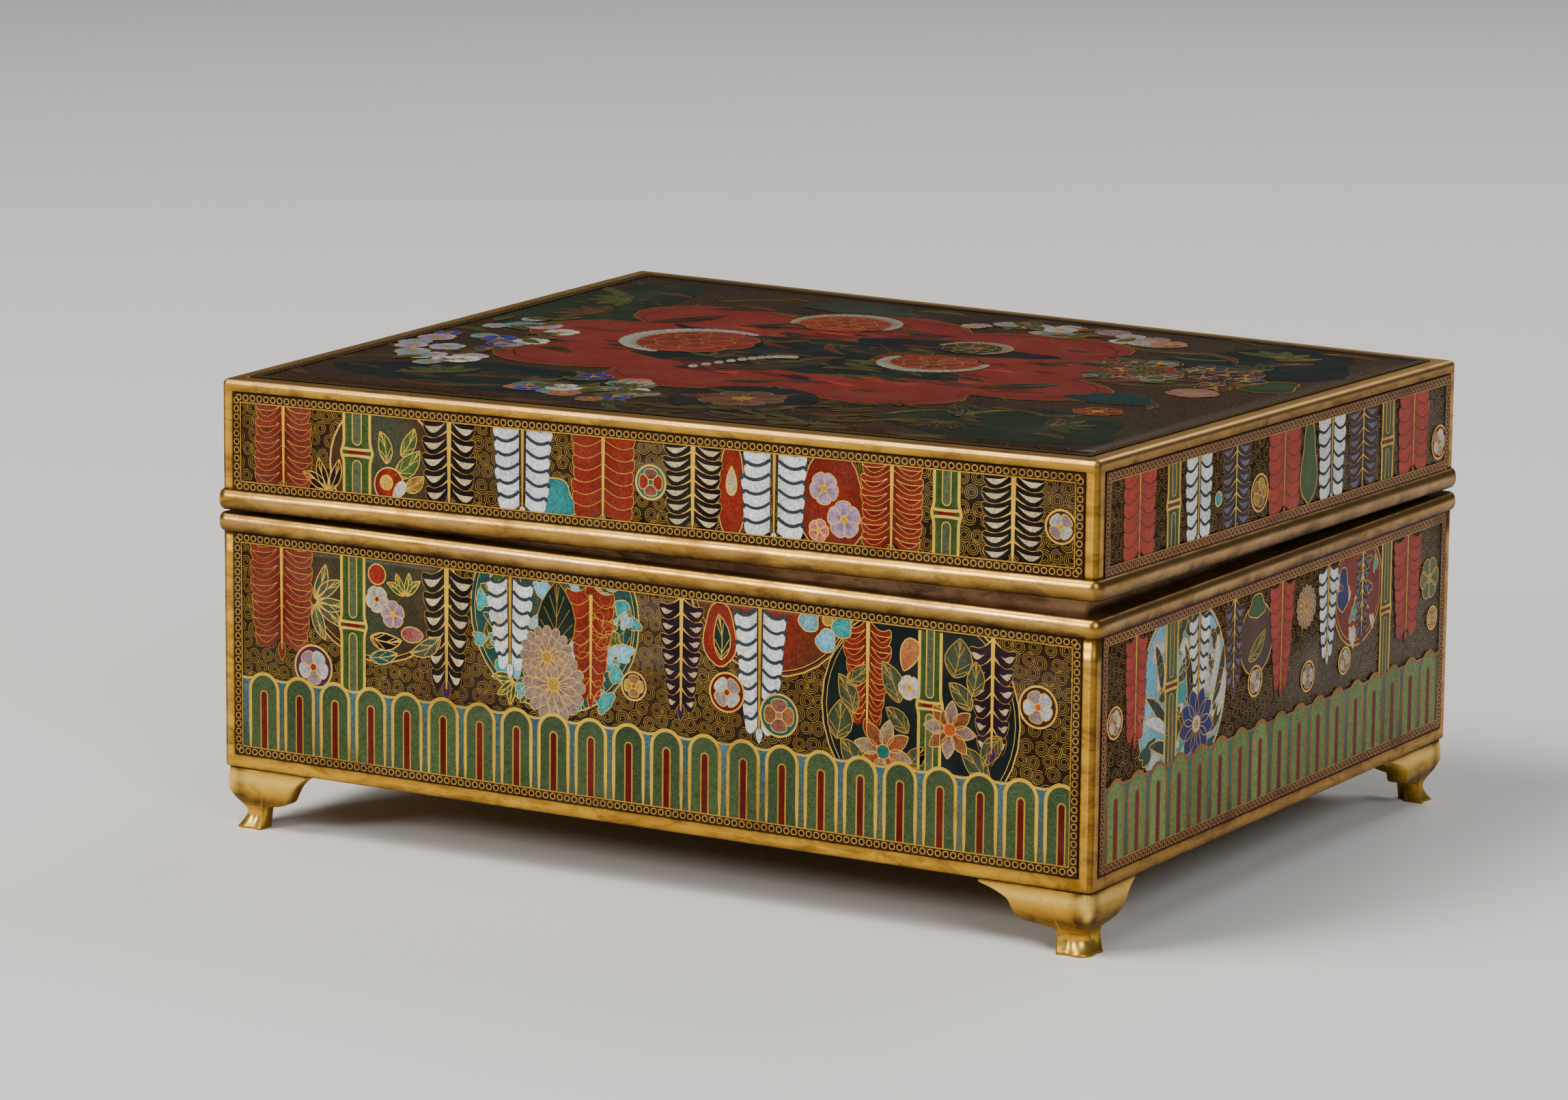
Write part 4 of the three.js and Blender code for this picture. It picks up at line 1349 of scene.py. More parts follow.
NETS = {  # the whorls: (pitch, turns, points, width, tint)
    "fine": (1.95, 3.7, 30, 0.115, DUN * 0.95),
    "rubbed": (1.95, 2.8, 22, 0.13, DUN * 0.6),
    "plain": (2.2, 2.3, 18, 0.14, DUN * 1.1),
    "top": (3.6, 2.4, 15, 0.14, DUN * 0.5),
}
RUBBED_BORDER = dict(ground=DEEP_RED * 0.8, tint=PLAIN * 0.45)


def finished(inlay, net, **border):
    """The picture with its border, and with whorls wherever the ground still shows."""
    chain_border(inlay, **border)
    inlay.whorls(*NETS[net])
    return inlay


def side_inlay(k, height, seed):
    return Inlay((SIDE_MARGIN, 0), (2 * SIDE_HALF[k] - SIDE_MARGIN, height), seed)


def small_flowers(inlay, spots):
    for *spot, turn in spots:
        small_roundel(inlay, *spot, turn=turn)


def racemes(inlay, rows):
    for row in rows:
        raceme(inlay, *row)


def front_base():
    """The front of the base, from the left: racemes, bamboo and four roundels over lappets."""
    inlay = side_inlay(0, BASE_PANEL_H, 11)
    roundel(inlay, (23.7, 2.5), 11.9, GREY_GREEN * 0.4, rim=BROWN * 0.8)
    roundel(inlay, (50.4, 5.3), 12.4, GREY_GREEN * 0.45, rim=TEAL * 0.6)
    roundel(inlay, (81.7, -2.5), 11.9, BRICK * 0.75, rim=BROWN)
    roundel(inlay, (102.5, 11.7), 13.6, NIGHT, rim=NIGHT)
    racemes(inlay, [
        (9.2, 0.6, 13.6, 5.0, 2.2, "faded", 0.8),
        (34.4, 1.2, 15.8, 3.9, 2.4, "black", 0.55),
        (43.9, 1.4, 12.4, 3.5, 1.75, "white", 0.45),
        (55.8, 1.4, 14.8, 3.6, 1.75, "red", 0.35),
        (68.9, 1.4, 14.6, 3.2, 1.95, "purple", 0.6),
        (80.1, 1.6, 16.2, 3.6, 1.8, "white", 0.5),
        (95.2, 1.4, 13.2, 3.4, 1.9, "veined", 0.55),
        (112.3, 1.8, 14.6, 3.1, 2.0, "purple", 0.6),
    ])
    spray(inlay, (14.2, 7.6), 5.2, GREY_GREEN * 0.7, (-70, -35, 0, 35, 70), 2)
    bamboo(inlay, 20.2, 0.6, 18.6, 3.4, (10.1,), 4)
    sky = (SKY, TURQUOISE, SKY, LEAF, TEAL, GREY_GREEN * 0.6)
    shards(inlay, (50.4, 5.3), 10.9, sky, 54, 2, 0.12, 0.45)
    for at, wide in (((39.8, 4.6), 1.2), ((39.4, 9.6), 1.0), ((41.8, 9.4), 1.0), ((43.0, 12.6), 1.4),
                     ((48.7, 2.4), 1.3), ((48.0, 6.6), 1.2), ((60.9, 5.0), 1.0), ((60.6, 9.0), 1.4),
                     ((59.6, 12.0), 1.2), ((57.8, 15.4), 1.5), ((53.0, 16.8), 1.2), ((45.6, 15.4), 1.0)):
        tone = (SKY, TURQUOISE)[int(at[0]) % 2]
        patch(inlay, at, (wide, wide * 0.85), tone, 2.9, at[1] * 20, 0.2, 0.12)
    leaf(inlay, (50.4, 10.4), (50.8, 1.0), 5.6, DARK_GREEN * 1.2, 4, 0.02, 5, tint=PLAIN * 0.5)
    leaf(inlay, (40.4, 10.6), (42.0, 5.2), 3.0, GREEN, 2.6, 0.1, 4, tint=PLAIN * 0.6)
    leaf(inlay, (60.8, 9.6), (61.6, 3.4), 2.4, TEAL * 0.7, 2.6, -0.1, 4, tint=PLAIN * 0.6)
    spray(inlay, (28.2, 5.6), 3.2, LEAF * 1.3, (-150, -115, -80, -45), 4)
    leaf(inlay, (22.9, 11.2), (27.6, 11.2), 2.2, BLACK * 1.5, 5, 0.1, 4, 0.2)
    leaf(inlay, (22.7, 13.9), (27.0, 13.0), 1.8, TEAL, 5, 0.05, 3)
    leaf(inlay, (33.4, 10.2), (28.9, 12.6), 2.1, GREY_GREEN * 0.7, 4, -0.1, 3)
    blossom(inlay, (23.9, 6.3), 1.7, WHITE * 0.7, MAUVE * 0.5, DEEP_RED, 5, 5, 20)
    blossom(inlay, (26.3, 8.0), 1.75, LILAC * 0.8, BRICK, YELLOW, 5, 5.4, 50)
    disc(inlay, (23.9, 3.1), 1.3, BRICK, 5)
    petal(inlay, (27.6, 10.3), (30.9, 10.3), 2.0, PINK * 0.6, BRICK, 5, (0.5, 0.6))
    small_roundel(inlay, (14.1, 16.2), 2.8, PURPLE * 0.8, WHITE * 0.75, BRICK, 5, 5, 15)
    chrysanthemum(inlay, (49.4, 10.8), 4.0, EARTH, EARTH * 0.3, YELLOW * 0.7)
    chrysanthemum(inlay, (50.4, 14.2), 4.7, EARTH * 1.1, EARTH * 0.3, YELLOW * 0.8, 5.3)
    spray(inlay, (44.6, 14.2), 3.4, LEAF, (100, 140, 180), 4)
    patch(inlay, (74.4, 5.2), (2.3, 4.0), BRICK, 2, 0, 0.06)
    leaf(inlay, (74.6, 8.2), (74.2, 2.6), 2.4, DARK_GREEN * 1.8, 4, 0.06, 4)
    small_flowers(inlay, [
        ((62.1, 13.0), 1.75, NAVY * 1.5, YELLOW, ORANGE, 4, 0),
        ((75.5, 12.2), 2.4, DEEP_RED * 0.8, WHITE * 0.8, BRICK, 4, 45),
        ((82.9, 14.2), 2.6, TEAL * 0.8, PEACH * 0.5, MAUVE, 4, 0),
        ((118.5, 8.9), 2.5, BROWN * 0.6, WHITE * 0.75, ORANGE, 5, 30),
    ])
    for at, tone in (((87.0, 1.9), PALE_BLUE), ((89.4, 4.2), SKY), ((91.6, 2.2), TURQUOISE)):
        patch(inlay, at, (1.35, 1.5), tone, 5, 20, 0.08)
    disc(inlay, (89.6, 1.6), 0.7, YELLOW * 0.7, 5.5)
    bamboo(inlay, 103.8, 1.4, 18.6, 2.9, (10.5,), 4)
    for start, end, wide in (
        ((107.0, 6.6), (107.8, 1.8), 3.0), ((91.0, 16.0), (91.4, 11.2), 2.8),
        ((93.4, 12.6), (91.2, 8.0), 2.0), ((99.6, 10.6), (97.2, 5.8), 2.2),
        ((109.4, 10.4), (106.4, 7.4), 1.9), ((100.6, 18.2), (103.2, 15.6), 1.8),
        ((111.8, 19.2), (108.0, 15.0), 2.2), ((94.2, 19.6), (91.6, 16.0), 2.2),
        ((109.6, 8.6), (110.0, 4.4), 1.9), ((100.8, 14.2), (97.8, 11.4), 1.8),
        ((92.4, 9.0), (95.4, 6.4), 1.7), ((113.6, 13.2), (111.2, 17.0), 2.0),
    ):
        leaf(inlay, start, end, wide * 1.25, GREY_GREEN * 0.5, 4, 0.06, 4, tint=PLAIN * 0.6)
    petal(inlay, (100.2, 6.6), (101.6, 2.6), 2.6, PEACH * 0.7, ORANGE * 0.6, 5)
    blossom(inlay, (101.0, 8.6), 1.5, WHITE * 0.7, PEACH, YELLOW, 5, 5, 30)
    for at, radius, colour, edge, eye, turn in (
        ((97.5, 16.9), 4.1, CREAM * 0.5, DEEP_RED * 2, TEAL, 12),
        ((106.6, 13.1), 3.6, EARTH, BRICK * 0.5, ORANGE, 5),
    ):
        blossom(inlay, at, radius, colour, edge, eye, 8, 5, turn, (0.8, 0.95), 0.62, PEACH * 0.4)
    lappets(inlay, 6.4, LAPPET["pitch"], 22, GREEN * 0.6 + GREY_GREEN * 0.28, SLATE, DEEP_RED * 0.8)
    return finished(inlay, "fine")


def right_base():
    """The right side of the base, from the near corner, where the gilding has mostly gone."""
    inlay = side_inlay(1, BASE_PANEL_H, 12)
    roundel(inlay, (23.0, 10.6), 11.9, TURQUOISE * 0.9, rim=SKY)
    roundel(inlay, (72.5, 6.0), 7.2, BRICK * 0.9, rim=DEEP_RED)
    disc(inlay, (43.2, 7.2), 4.6, MAUVE * 0.3, 1, rim=BROWN)
    racemes(inlay, [
        (10.6, 1.2, 13.4, 2.9, 1.7, "bright", 0.7),
        (36.9, 1.4, 11.6, 2.5, 1.9, "dusk", 0.7),
        (50.3, 1.2, 14.2, 3.5, 1.7, "bright", 0.5),
        (63.6, 1.4, 12.6, 2.8, 1.6, "snow", 0.5),
        (73.8, 1.2, 11.6, 2.2, 1.8, "dusk", 0.7),
        (87.5, 1.2, 14.0, 4.3, 1.7, "bright", 0.7),
    ])
    shards(inlay, (23.0, 10.6), 11.0, (WHITE, SKY, WHITE, GREEN * 0.6, TEAL * 0.6), 60, 2, 0.12)
    for start, end in (
        ((20.5, 17.0), (13.4, 9.4)), ((22.0, 19.0), (14.4, 15.6)), ((31.0, 13.6), (34.0, 6.4)),
        ((24.6, 14.2), (23.4, 4.4)), ((30.6, 16.8), (33.8, 12.4)), ((17.4, 9.6), (15.6, 3.4)),
    ):
        petal(inlay, start, end, 1.7, DARK_GREEN * 1.6, GREEN * 0.6, 3, (0.9, 0.8), 0.1)
    for start, end in (
        ((19.6, 15.2), (13.0, 12.4)), ((32.6, 15.0), (34.2, 9.4)), ((30.4, 12.0), (32.4, 4.8)),
    ):
        petal(inlay, start, end, 1.5, WHITE, SKY, 3.4, (0.9, 0.8), 0.1)
    bamboo(inlay, 20.0, 0.6, 18.6, 3.0, (9.0,), 4)
    raceme(inlay, 27.3, 1.4, 11.2, 2.8, 1.6, "snow", 0.5)
    blossom(inlay, (26.9, 15.0), 4.6, COBALT * 0.7, NAVY * 2, WHITE, 9, 5, 12, (0.8, 0.85))
    disc(inlay, (26.9, 15.0), 0.6, YELLOW, 6.6, wire=0)
    patch(inlay, (43.2, 3.2), (2.2, 1.5), GREEN * 1.6, 3)
    leaf(inlay, (41.0, 9.6), (45.6, 6.4), 2.2, LEAF, 4)
    chrysanthemum(inlay, (57.2, 5.6), 2.8, EARTH, EARTH * 0.4, YELLOW * 0.7)
    patch(inlay, (68.0, 5.4), (1.6, 2.9), COBALT * 0.7, 3)
    shards(inlay, (72.5, 6.0), 6.6, (TURQUOISE, WHITE, COBALT), 14, 2)
    bamboo(inlay, 81.0, 0.6, 18.6, 2.7, (10.0,), 4)
    blossom(inlay, (94.4, 8.1), 2.8, GREY_GREEN, LEAF, YELLOW, 6)
    small_flowers(inlay, [
        ((5.3, 10.9), 1.9, DEEP_RED, WHITE * 0.8, BRICK, 5, 0),
        ((43.0, 12.6), 1.9, BLACK, WHITE * 0.8, YELLOW, 4, 45),
        ((58.1, 14.7), 1.9, NAVY, WHITE * 0.8, BRICK, 4, 0),
        ((95.6, 13.6), 1.5, BROWN, CREAM * 0.8, BRICK, 4, 0),
        ((68.9, 14.6), 1.7, TEAL, WHITE * 0.7, ORANGE, 5, 0),
    ])
    lappets(inlay, 5.9, 5.56, 17, OLIVE * 1.3, TEAL * 1.6, DEEP_RED * 1.3,
            shine=np.array([0.42, 0.25, 0.2]))
    return finished(inlay, "rubbed", **RUBBED_BORDER)


def front_lid():
    """The front of the lid, from the left."""
    inlay = side_inlay(0, LID_PANEL_H, 13)
    low = LID_PANEL_H - 1.6
    disc(inlay, (25.0, 7.6), 8.2, GREY_GREEN * 0.35, 1, rim=BROWN * 0.7, across=9, wire=0.28)
    patch(inlay, (50.4, 9.6), (3.0, 2.6), TURQUOISE * 0.6, 2)
    patch(inlay, (75.9, 6.4), (1.9, 6.2), BRICK * 0.9, 2, 0, 0.04)
    patch(inlay, (90.0, 6.6), (4.6, 6.4), BRICK * 0.8, 2, 0, 0.05)
    racemes(inlay, [
        (9.6, 0.4, low, 4.4, 2.1, "faded", 0.95),
        (34.8, 0.4, low, 4.1, 2.2, "black", 0.9),
        (45.7, 0.4, low, 4.3, 1.8, "white", 0.8),
        (57.5, 0.4, low, 4.5, 1.5, "red", 0.95),
        (70.4, 0.4, low, 4.2, 1.75, "black", 0.9),
        (81.9, 0.4, low, 4.5, 1.7, "white", 0.9),
        (98.2, 0.4, low, 4.2, 1.8, "veined", 0.95),
        (114.7, 0.4, low, 4.3, 1.75, "black", 0.9),
    ])
    spray(inlay, (16.6, 11.6), 4.6, BLACK * 1.8, (-150, -110, -70), 3)
    bamboo(inlay, 20.9, 0.4, LID_PANEL_H, 3.9, (6.2,), 4)
    leaf(inlay, (26.6, 8.6), (30.4, 5.2), 2.5, LEAF * 1.5, 4)
    leaf(inlay, (28.2, 10.2), (31.0, 8.4), 1.9, YELLOW * 0.5, 4)
    leaf(inlay, (25.4, 7.2), (24.4, 3.2), 2.0, LEAF, 4)
    leaf(inlay, (27.6, 6.0), (29.6, 2.4), 1.9, LEAF * 1.2, 4)
    disc(inlay, (25.8, 9.9), 2.2, BRICK, 5, rim=DEEP_RED)
    disc(inlay, (25.4, 9.6), 0.9, YELLOW, 6)
    petal(inlay, (26.4, 11.6), (28.2, 9.4), 1.5, WHITE, PINK, 5.6)
    petal(inlay, (75.9, 3.2), (75.9, 6.8), 1.5, CREAM, CREAM * 0.6, 4, (0.9, 0.5))
    blossom(inlay, (88.9, 4.8), 2.0, LILAC, MAUVE * 0.5, YELLOW, 5, 5, 20)
    blossom(inlay, (91.7, 8.4), 2.3, LILAC * 1.1, PURPLE, YELLOW, 5, 5.4, 50)
    blossom(inlay, (88.2, 10.0), 1.4, PINK, BRICK, YELLOW, 5, 5, 0)
    bamboo(inlay, 105.7, 0.4, LID_PANEL_H, 3.3, (6.4,), 4)
    small_flowers(inlay, [
        ((64.4, 6.2), 2.1, TEAL * 1.3, BRICK, TEAL, 4, 0),
        ((121.1, 6.6), 2.0, BROWN * 0.6, WHITE * 0.6, YELLOW, 4, 45),
    ])
    return finished(inlay, "fine")


def right_lid():
    """The right side of the lid, from the near corner."""
    inlay = side_inlay(1, LID_PANEL_H, 14)
    low = LID_PANEL_H - 1.6
    patch(inlay, (57.0, 6.4), (2.2, 5.2), GREEN * 1.4, 2)
    racemes(inlay, [
        (10.7, 0.4, low, 4.2, 1.8, "bright", 0.95),
        (26.3, 0.4, low, 3.5, 1.75, "snow", 0.85),
        (36.5, 0.4, low, 4.0, 1.9, "dusk", 0.9),
        (50.0, 0.4, low, 4.6, 1.8, "bright", 0.95),
        (63.6, 0.4, low, 3.9, 1.75, "snow", 0.85),
        (72.8, 0.4, low, 4.4, 1.9, "dusk", 0.9),
        (88.2, 0.4, low, 4.7, 1.8, "bright", 0.95),
    ])
    bamboo(inlay, 19.6, 0.4, LID_PANEL_H, 3.0, (6.2,), 4)
    disc(inlay, (31.6, 7.2), 0.9, TURQUOISE, 5)
    small_flowers(inlay, [
        ((43.0, 8.0), 2.3, BROWN, YELLOW * 0.8, BRICK, 5, 0),
        ((96.2, 8.6), 2.2, DEEP_RED, WHITE, ORANGE, 5, 0),
    ])
    bamboo(inlay, 80.2, 0.4, LID_PANEL_H, 3.2, (6.4,), 4)
    return finished(inlay, "rubbed", **RUBBED_BORDER)


PLAIN_ORDER = ("red", "black", "white", "purple", "faded")


def plain_base(k, seed):
    """A side of the base that is seldom seen: the same growth, spaced evenly, over lappets."""
    inlay = side_inlay(k, BASE_PANEL_H, seed)
    wide = 2 * SIDE_HALF[k]
    count = int(wide // 24)
    pitch = wide / count
    for i in range(count):
        middle = pitch * (i + 0.5)
        if i % 2 == 0:
            tone = (TURQUOISE, DARK_GREEN, BRICK)[(i // 2) % 3]
            roundel(inlay, (middle + 2, 8.4), 9.0, tone * 0.8)
    for i in range(2 * count):
        stem = pitch * (i / 2 + 0.27)
        raceme(inlay, stem, 1.4, 12.6 + 2.4 * (i % 2), 3.6, 1.9, PLAIN_ORDER[(i + seed) % 5], 0.55)
    for i in range(count):
        middle = pitch * (i + 0.5)
        if i % 2:
            bamboo(inlay, middle, 0.6, 18.6, 3.4, (9.6,), 4)
            leaf(inlay, (middle + 2.2, 7.6), (middle + 5.2, 4.4), 2.0, LEAF, 4)
        else:
            tone = (WHITE, PEACH)[(i // 2) % 2]
            blossom(inlay, (middle + 2, 13.2), 3.0, tone * 0.85, MAUVE, YELLOW, 6)
        small_roundel(inlay, (middle + pitch * 0.5 - 1.2 * (i + 1 == count), 15.4), 2.0, TEAL,
                      WHITE * 0.85, BRICK, 4, 5, 45)
    step = LAPPET["pitch"]
    spread = int((wide - 8) // step)
    first = wide / 2 - step * (spread - 1) / 2
    lappets(inlay, first, step, spread, GREEN * 1.15, PALE_BLUE * 0.55, DEEP_RED)
    return finished(inlay, "plain")


def plain_lid(k, seed):
    """A seldom seen side of the lid: racemes and bamboo in turn."""
    inlay = side_inlay(k, LID_PANEL_H, seed)
    wide = 2 * SIDE_HALF[k]
    count = int(wide // 12.5)
    pitch = wide / count
    low = LID_PANEL_H - 1.6
    for i in range(count):
        middle = pitch * (i + 0.5)
        if i % 4 == 3:
            bamboo(inlay, middle, 0.4, LID_PANEL_H, 3.4, (6.3,), 4)
        else:
            raceme(inlay, middle, 0.4, low, 4.2, 1.8, PLAIN_ORDER[(i + seed) % 5], 0.9)
        if i % 3 == 1 and i + 1 < count:
            small_roundel(inlay, (middle + pitch / 2, 8.0), 1.8, TEAL, WHITE * 0.85, BRICK, 4)
    return finished(inlay, "plain")


def lobed(at, reach, notches, depth):
    """The closed edge of a lobed field: a superellipse whose edge is notched evenly."""
    angle = np.linspace(0, 2 * np.pi, 8 * notches + 1)
    c, s = np.cos(angle), np.sin(angle)
    box = (np.abs(c) ** 2.6 + np.abs(s) ** 2.6) ** (-1 / 2.6)
    lobe = 1 - depth * (1 - np.abs(np.sin(notches * angle / 2)) ** 0.7)
    return xy(*at) + np.column_stack([c * reach[0], s * reach[1]]) * (box * lobe)[:, None]


def crescent(inlay, at, radius, start, end, thick, colour, layer):
    """A scalloped crescent, like a ruff of petals along an arc."""
    for angle in np.arange(start, end, 360 * thick * 0.45 / (2 * np.pi * radius)):
        way = heading(math.radians(angle))
        share = (angle - start) / (end - start)
        tall = thick * (0.45 + 0.55 * math.sin(math.pi * share))
        petal(inlay, xy(*at) + way * (radius - tall), xy(*at) + way * radius, thick * 0.55,
              colour, colour * 0.25, layer, (0.6, 0.4), wire=0.11)


def flower_bed(inlay, low, high, colours, count):
    """A cluster of small blossoms and leaves inside a rectangle."""
    layer = 4
    for k in range(count):
        at = inlay.rng.uniform(low, high)
        colour = colours[k % len(colours)] * inlay.rng.uniform(0.6, 1.3)
        if k % 3 == 2:
            way = heading(inlay.rng.uniform(0, 2 * np.pi)) * 2.2
            leaf(inlay, at - way, at + way, 1.8, GREEN * 0.8, layer + k % 3, veins=2, tint=PLAIN * 0.5)
        else:
            blossom(inlay, at, inlay.rng.uniform(1.6, 2.8), colour, colour * 0.35, YELLOW * 0.6, 5,
                    layer + k % 3, inlay.rng.uniform(0, 72))


def top_lid():
    """The top of the lid: a lobed red field on dark olive and brown, with white crescents,
    curved sprays and clusters of blossom near the corners, all strewn with thin dark leaves."""
    edge = EDGE_R + TOP_STRIP + SEAM
    inlay = Inlay((edge, edge), (LENGTH - edge, DEPTH - edge), 15)
    dull = PLAIN * 0.3
    for at, radii, colour, turn in (
        ((30, 84), (22, 9), DARK_GREEN * 0.6, 5), ((12, 30), (9, 22), LEAF * 0.2, 0),
        ((104, 82), (16, 12), LEAF * 0.2, 10), ((108, 20), (12, 14), DARK_GREEN * 0.6, 0),
        ((60, 8), (26, 6), BROWN * 0.4, 0), ((62, 92), (24, 6), BROWN * 0.4, 0),
    ):
        patch(inlay, at, radii, colour, 0.6, turn, 0.1, 0)
    greens = (DARK_GREEN * 1.6, BLACK, LEAF * 0.8, BROWN * 0.9, GREEN * 0.9, BLACK, BRICK * 0.4)
    undergrowth(inlay, (5, 5), (LENGTH - 5, DEPTH - 5), greens, 140, 8, 1, PLAIN * 0.4)
    for at in ((12, 22), (14, 34), (22, 84), (36, 86), (96, 84), (108, 80), (106, 14), (110, 25)):
        turn = inlay.rng.uniform(0, 360)
        for angle in (turn - 70, turn - 35, turn, turn + 35, turn + 70):
            tone = greens[int(angle) % 5] * 1.2
            leaf(inlay, at, at + heading(math.radians(angle)) * 6, 2.2, tone, 2.8, 0.06, 2, 0.12,
                 PLAIN * 0.4)
    heart = (58.5, 46)
    red = lobed(heart, (46, 33), 9, 0.22)
    field(inlay, heart, red, BRICK * 0.85, BRICK * 0.7, 3.2, 0.3, PLAIN * 0.5, 7)
    inner = lobed(heart, (43.4, 30.6), 9, 0.2)
    inlay.wire(inner, 0.22, 3.4, tint=BLACK, kind=CELL)
    for k in range(70):
        angle, away = inlay.rng.uniform(0, 2 * np.pi), math.sqrt(inlay.rng.uniform(0.05, 0.8))
        at = xy(*heart) + away * heading(angle) * (36, 25)
        tone = (BRICK * 0.4, DEEP_RED, BRICK * 1.4, BLACK)[k % 4]
        patch(inlay, at, (inlay.rng.uniform(1.5, 4.5), inlay.rng.uniform(0.5, 1.4)), tone, 3.6,
              inlay.rng.uniform(-25, 25), 0.25, 0.0, inlay.rng.uniform(0, 6))
    patch(inlay, (56, 50), (19, 12), DARK_GREEN * 0.5, 4.2, 12, 0.3, 0.2, 1.2, tint=dull)
    patch(inlay, (66, 34), (15, 6), BLACK * 1.2, 4.2, -12, 0.2, 0.2, 0.4, tint=dull)
    undergrowth(inlay, (40, 36), (78, 60), greens, 34, 7, 4.6, PLAIN * 0.4)
    undergrowth(inlay, (20, 20), (96, 72), (BLACK, DARK_GREEN, DEEP_RED), 42, 7, 4.4, PLAIN * 0.25)
    for at, radius, colour, start, end, thick, pale in (
        ((37.5, 46.7), 9.0, BRICK * 0.8, 95, 300, 3.0, 0.5),
        ((47, 23), 6.8, BRICK * 0.9, 150, 380, 2.2, 0.36),
        ((72.5, 45), 6.6, BRICK * 0.75, -20, 200, 2.4, 0.45),
        ((71, 31), 4.6, DARK_GREEN * 1.2, 180, 420, 1.6, 0.25),
    ):
        disc(inlay, at, radius, DEEP_RED * 0.8, 7.2, rim=BLACK, across=7, wire=0)
        blossom(inlay, at, radius * 0.97, colour, colour * 0.35, DEEP_RED, 8, 7.3, start, full=0.95)
        blossom(inlay, at, radius * 0.62, colour * 0.9, DEEP_RED * 0.6, DEEP_RED, 6, 7.8, start + 20)
        crescent(inlay, at, radius * 1.12, start, end, thick, WHITE * pale, 8.6)
    for k in range(12):
        share = k / 11
        at = xy(54.4 - 7.4 * share, 49.5 + 13 * share - 3.4 * math.sin(math.pi * share))
        petal(inlay, at, at + xy(1.1, 2.2), 1.2, WHITE * 0.5, GREY_BLUE * 0.5, 7.6, (0.6, 0.4))
    leaf(inlay, (50.4, 63), (60, 50), 4.4, DARK_GREEN * 1.2, 7.2, 0.15, 5, tint=dull)
    leaf(inlay, (86, 58), (94, 50), 3.6, DARK_GREEN * 1.4, 7.2, 0.1, 4, tint=dull)
    leaf(inlay, (24, 36), (30, 26), 3.2, BLACK * 1.8, 7.2, 0.1, 4, tint=dull)
    for low, high, colours, count in (
        ((6, 40), (20, 80), (WHITE * 0.8, COBALT, LILAC, GREY_BLUE * 1.6, PALE_BLUE * 0.8), 38),
        ((36, 77), (54, 92), (TURQUOISE * 0.6, COBALT, WHITE * 0.7, SLATE, PINK * 0.6), 32),
        ((60, 7), (92, 15), (WHITE * 0.5, LILAC * 0.6, GREY_BLUE * 1.4, PINK * 0.5), 32),
        ((90, 26), (112, 43), (PURPLE * 0.6, AUBERGINE, NAVY * 2, SLATE), 32),
    ):
        flower_bed(inlay, low, high, colours, count)
    patch(inlay, (117, 37), (3.4, 5), GREEN * 0.6, 4)
    blossom(inlay, (111, 47), 3.4, PINK * 0.5, WHITE * 0.2, YELLOW * 0.6, 5, 5)
    patch(inlay, (105, 57), (6, 4), TEAL * 0.35, 4, tint=dull)
    blossom(inlay, (108, 67), 3.2, BRICK * 0.6, DEEP_RED, YELLOW * 0.6, 6, 5)
    patch(inlay, (43, 11), (8, 5), GREY_GREEN * 0.25, 4, tint=dull)
    disc(inlay, (66, 82), 9.5, DARK_GREEN * 0.7, 4, rim=BLACK, across=7, wire=0.0)
    blossom(inlay, (66, 82), 5.6, MAUVE * 0.4, BRICK * 0.4, YELLOW * 0.6, 8, 5)
    undergrowth(inlay, (58, 72), (100, 96), greens, 40, 7, 4.4, PLAIN * 0.4)
    return finished(inlay, "top", ground=BROWN * 0.3, tint=dull)


# ---------------------------------------------------------------- room


def area_light(name, place, aim, size, power, colour=(1, 1, 1)):
    data = bpy.data.lights.new(name, "AREA")
    data.shape = "RECTANGLE"
    data.size, data.size_y = size
    data.energy = power
    data.color = colour
    light = bpy.data.objects.new(name, data)
    bpy.context.scene.collection.objects.link(light)
    light.location = place
    light.rotation_mode = "QUATERNION"
    light.rotation_quaternion = (Vector(aim) - Vector(place)).to_track_quat("-Z", "Y")


FLOOR_REACH = 5.0  # metres each way, past the top of the view


def make_room():
    """A wide pale floor, and soft lights from the upper left."""
    finish = Finish("floor_paper")
    finish.set(Base_Color=(0.86, 0.85, 0.83), Roughness=0.9)
    share = np.linspace(-FLOOR_REACH, FLOOR_REACH, 5)
    x, y = np.meshgrid(share, share)
    grid = np.stack([x, y, np.zeros_like(x)], -1)
    floor = make_piece("floor", grid.reshape(-1, 3) / MM, [grid_faces(5, 5)], [finish.material])
    world = bpy.data.worlds.new("studio")
    bpy.context.scene.world = world
    world.use_nodes = True
    world.node_tree.nodes["Background"].inputs["Color"].default_value = (0.80, 0.82, 0.85, 1)
    world.node_tree.nodes["Background"].inputs["Strength"].default_value = 0.12
    centre = (0, 0, 0.03)
    area_light("key", (-0.42, -0.55, 1.15), centre, (0.6, 0.6), 14, (1.0, 0.96, 0.90))
    area_light("front", (-0.55, -1.05, 0.52), centre, (0.45, 0.25), 7, (1.0, 0.96, 0.90))
    area_light("fill", (0.95, -0.75, 0.7), centre, (0.5, 0.5), 7)
    area_light("back", (0.1, 0.9, 0.9), centre, (0.7, 0.4), 5)


make_room()

# ---------------------------------------------------------------- the box

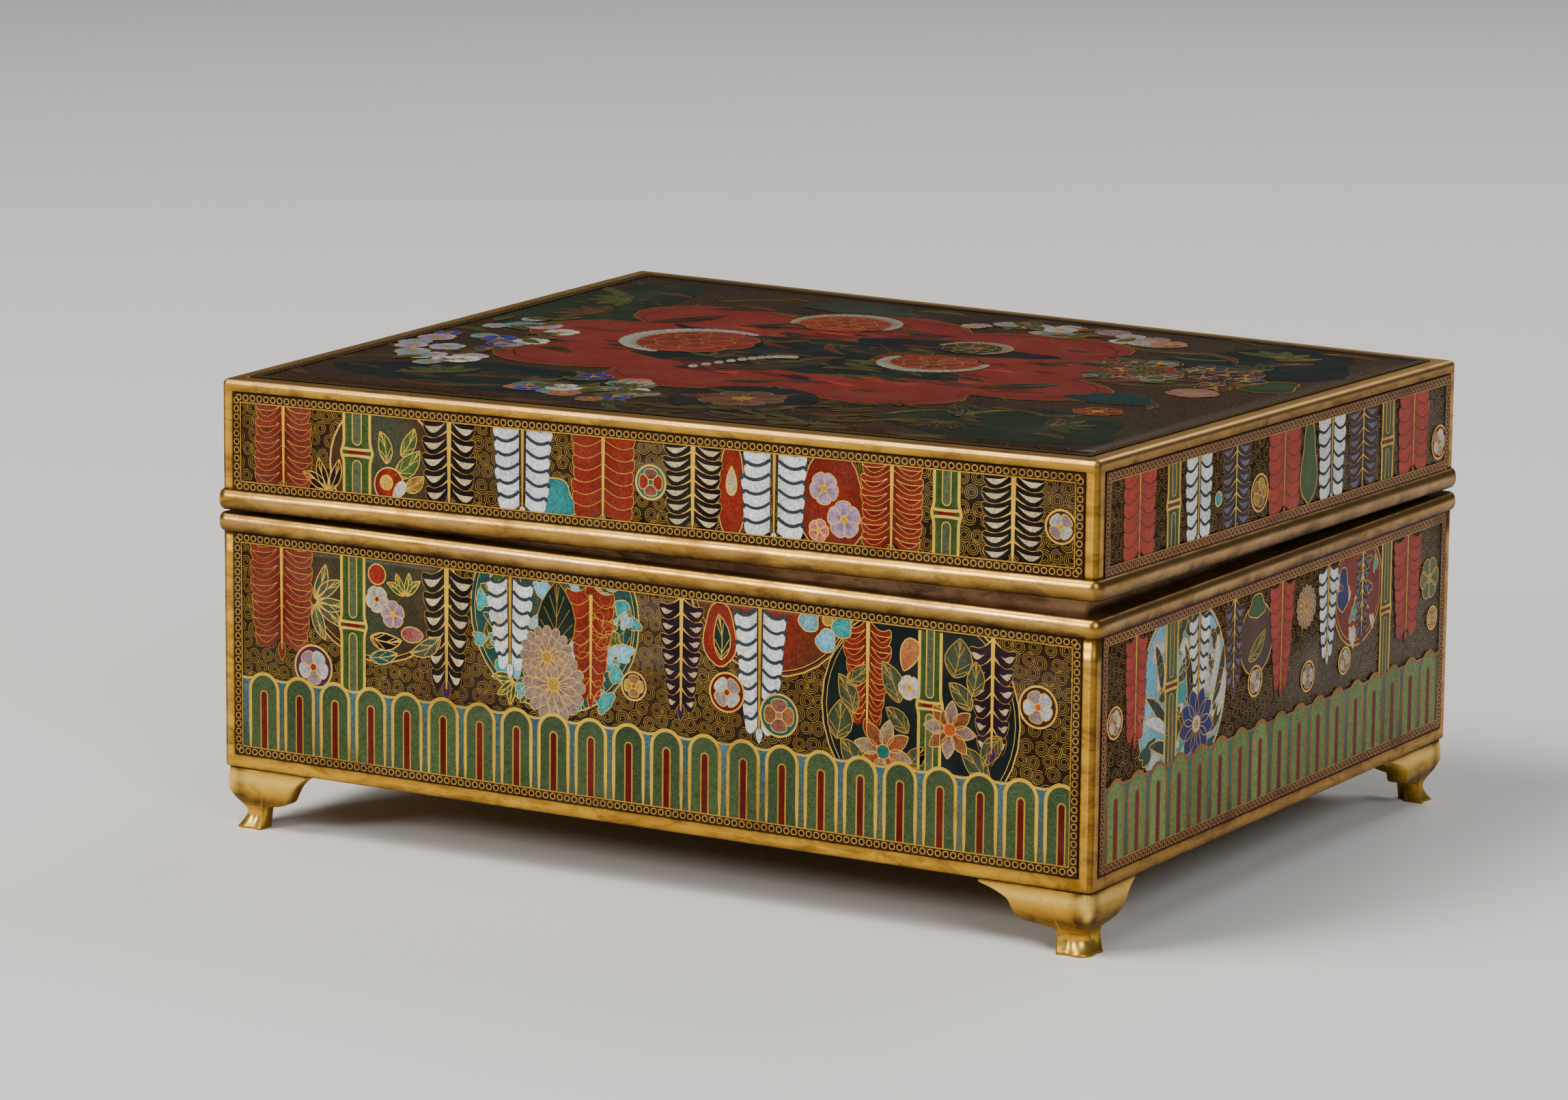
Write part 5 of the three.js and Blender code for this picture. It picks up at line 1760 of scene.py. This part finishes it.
GILT = worn_gilt("gilt_frame", (0.76, 0.42, 0.042), (0.56, 0.29, 0.03), (0.22, 0.10, 0.016), 0.46)
BEAD_GILT = worn_gilt("gilt_bead", (0.78, 0.46, 0.09), (0.52, 0.27, 0.05), (0.24, 0.115, 0.025), 0.46,
                      rough=0.2)
FOOT_GILT = worn_gilt("gilt_foot", (0.80, 0.46, 0.055), (0.58, 0.31, 0.035), (0.24, 0.12, 0.02), 0.5,
                      right_side=False)
DULL_COPPER = worn_gilt("dull_copper", (0.34, 0.20, 0.10), (0.24, 0.13, 0.07), (0.10, 0.055, 0.03), 0.45,
                        False, 0.45)
PANEL_FINISH = [ground_enamel(), cell_enamel(), gilt_wire()]

settle(base_shell(GILT), "base_body")
settle(lid_shell(GILT), "lid_body")
settle(bead_piece("base_bead_ring", BASE_BEAD_Z, RIM_Z - BASE_BEAD_Z, BEAD_GILT, False, 21),
       "base_bead")
settle(bead_piece("lid_bead_ring", LID_BEAD_Z, LID_BEAD_H, BEAD_GILT, True, 31), "lid_bead")
settle(collar_piece(DULL_COPPER), "collar")

for corner, sign_x, sign_y, turn in (
    ("front_right", 1, -1, 0), ("back_right", 1, 1, math.pi / 2),
    ("back_left", -1, 1, math.pi), ("front_left", -1, -1, -math.pi / 2),
):
    foot = foot_piece(f"bracket_{corner}", sign_x, sign_y, turn, FOOT_GILT, 41)
    settle(foot, f"foot_{corner}")

SIDE_NAMES = ("front", "right", "back", "left")
SIDE_PICTURES = {  # the pictures of each part, their upper edge, and whether they ride on the lid
    "base": ((front_base(), right_base(), plain_base(2, 16), plain_base(3, 17)), BASE_TOP, False),
    "lid": ((front_lid(), right_lid(), plain_lid(2, 18), plain_lid(3, 19)),
            LID_TOP - LID_STRIP - SEAM, True),
}
for k, name in enumerate(SIDE_NAMES):
    for part, (pictures, upper, lifted) in SIDE_PICTURES.items():
        place = side_place(k, upper, lifted)
        piece = panel_piece(f"{part}_picture_{name}", pictures[k], place, PANEL_FINISH)
        settle(piece, f"{part}_panel_{name}")
TOP_SPACING = 5.0  # the top's block follows the twist of the lid on a grid this fine
settle(panel_piece("lid_picture_top", top_lid(), top_place, PANEL_FINISH, TOP_SPACING),
       "lid_panel_top")
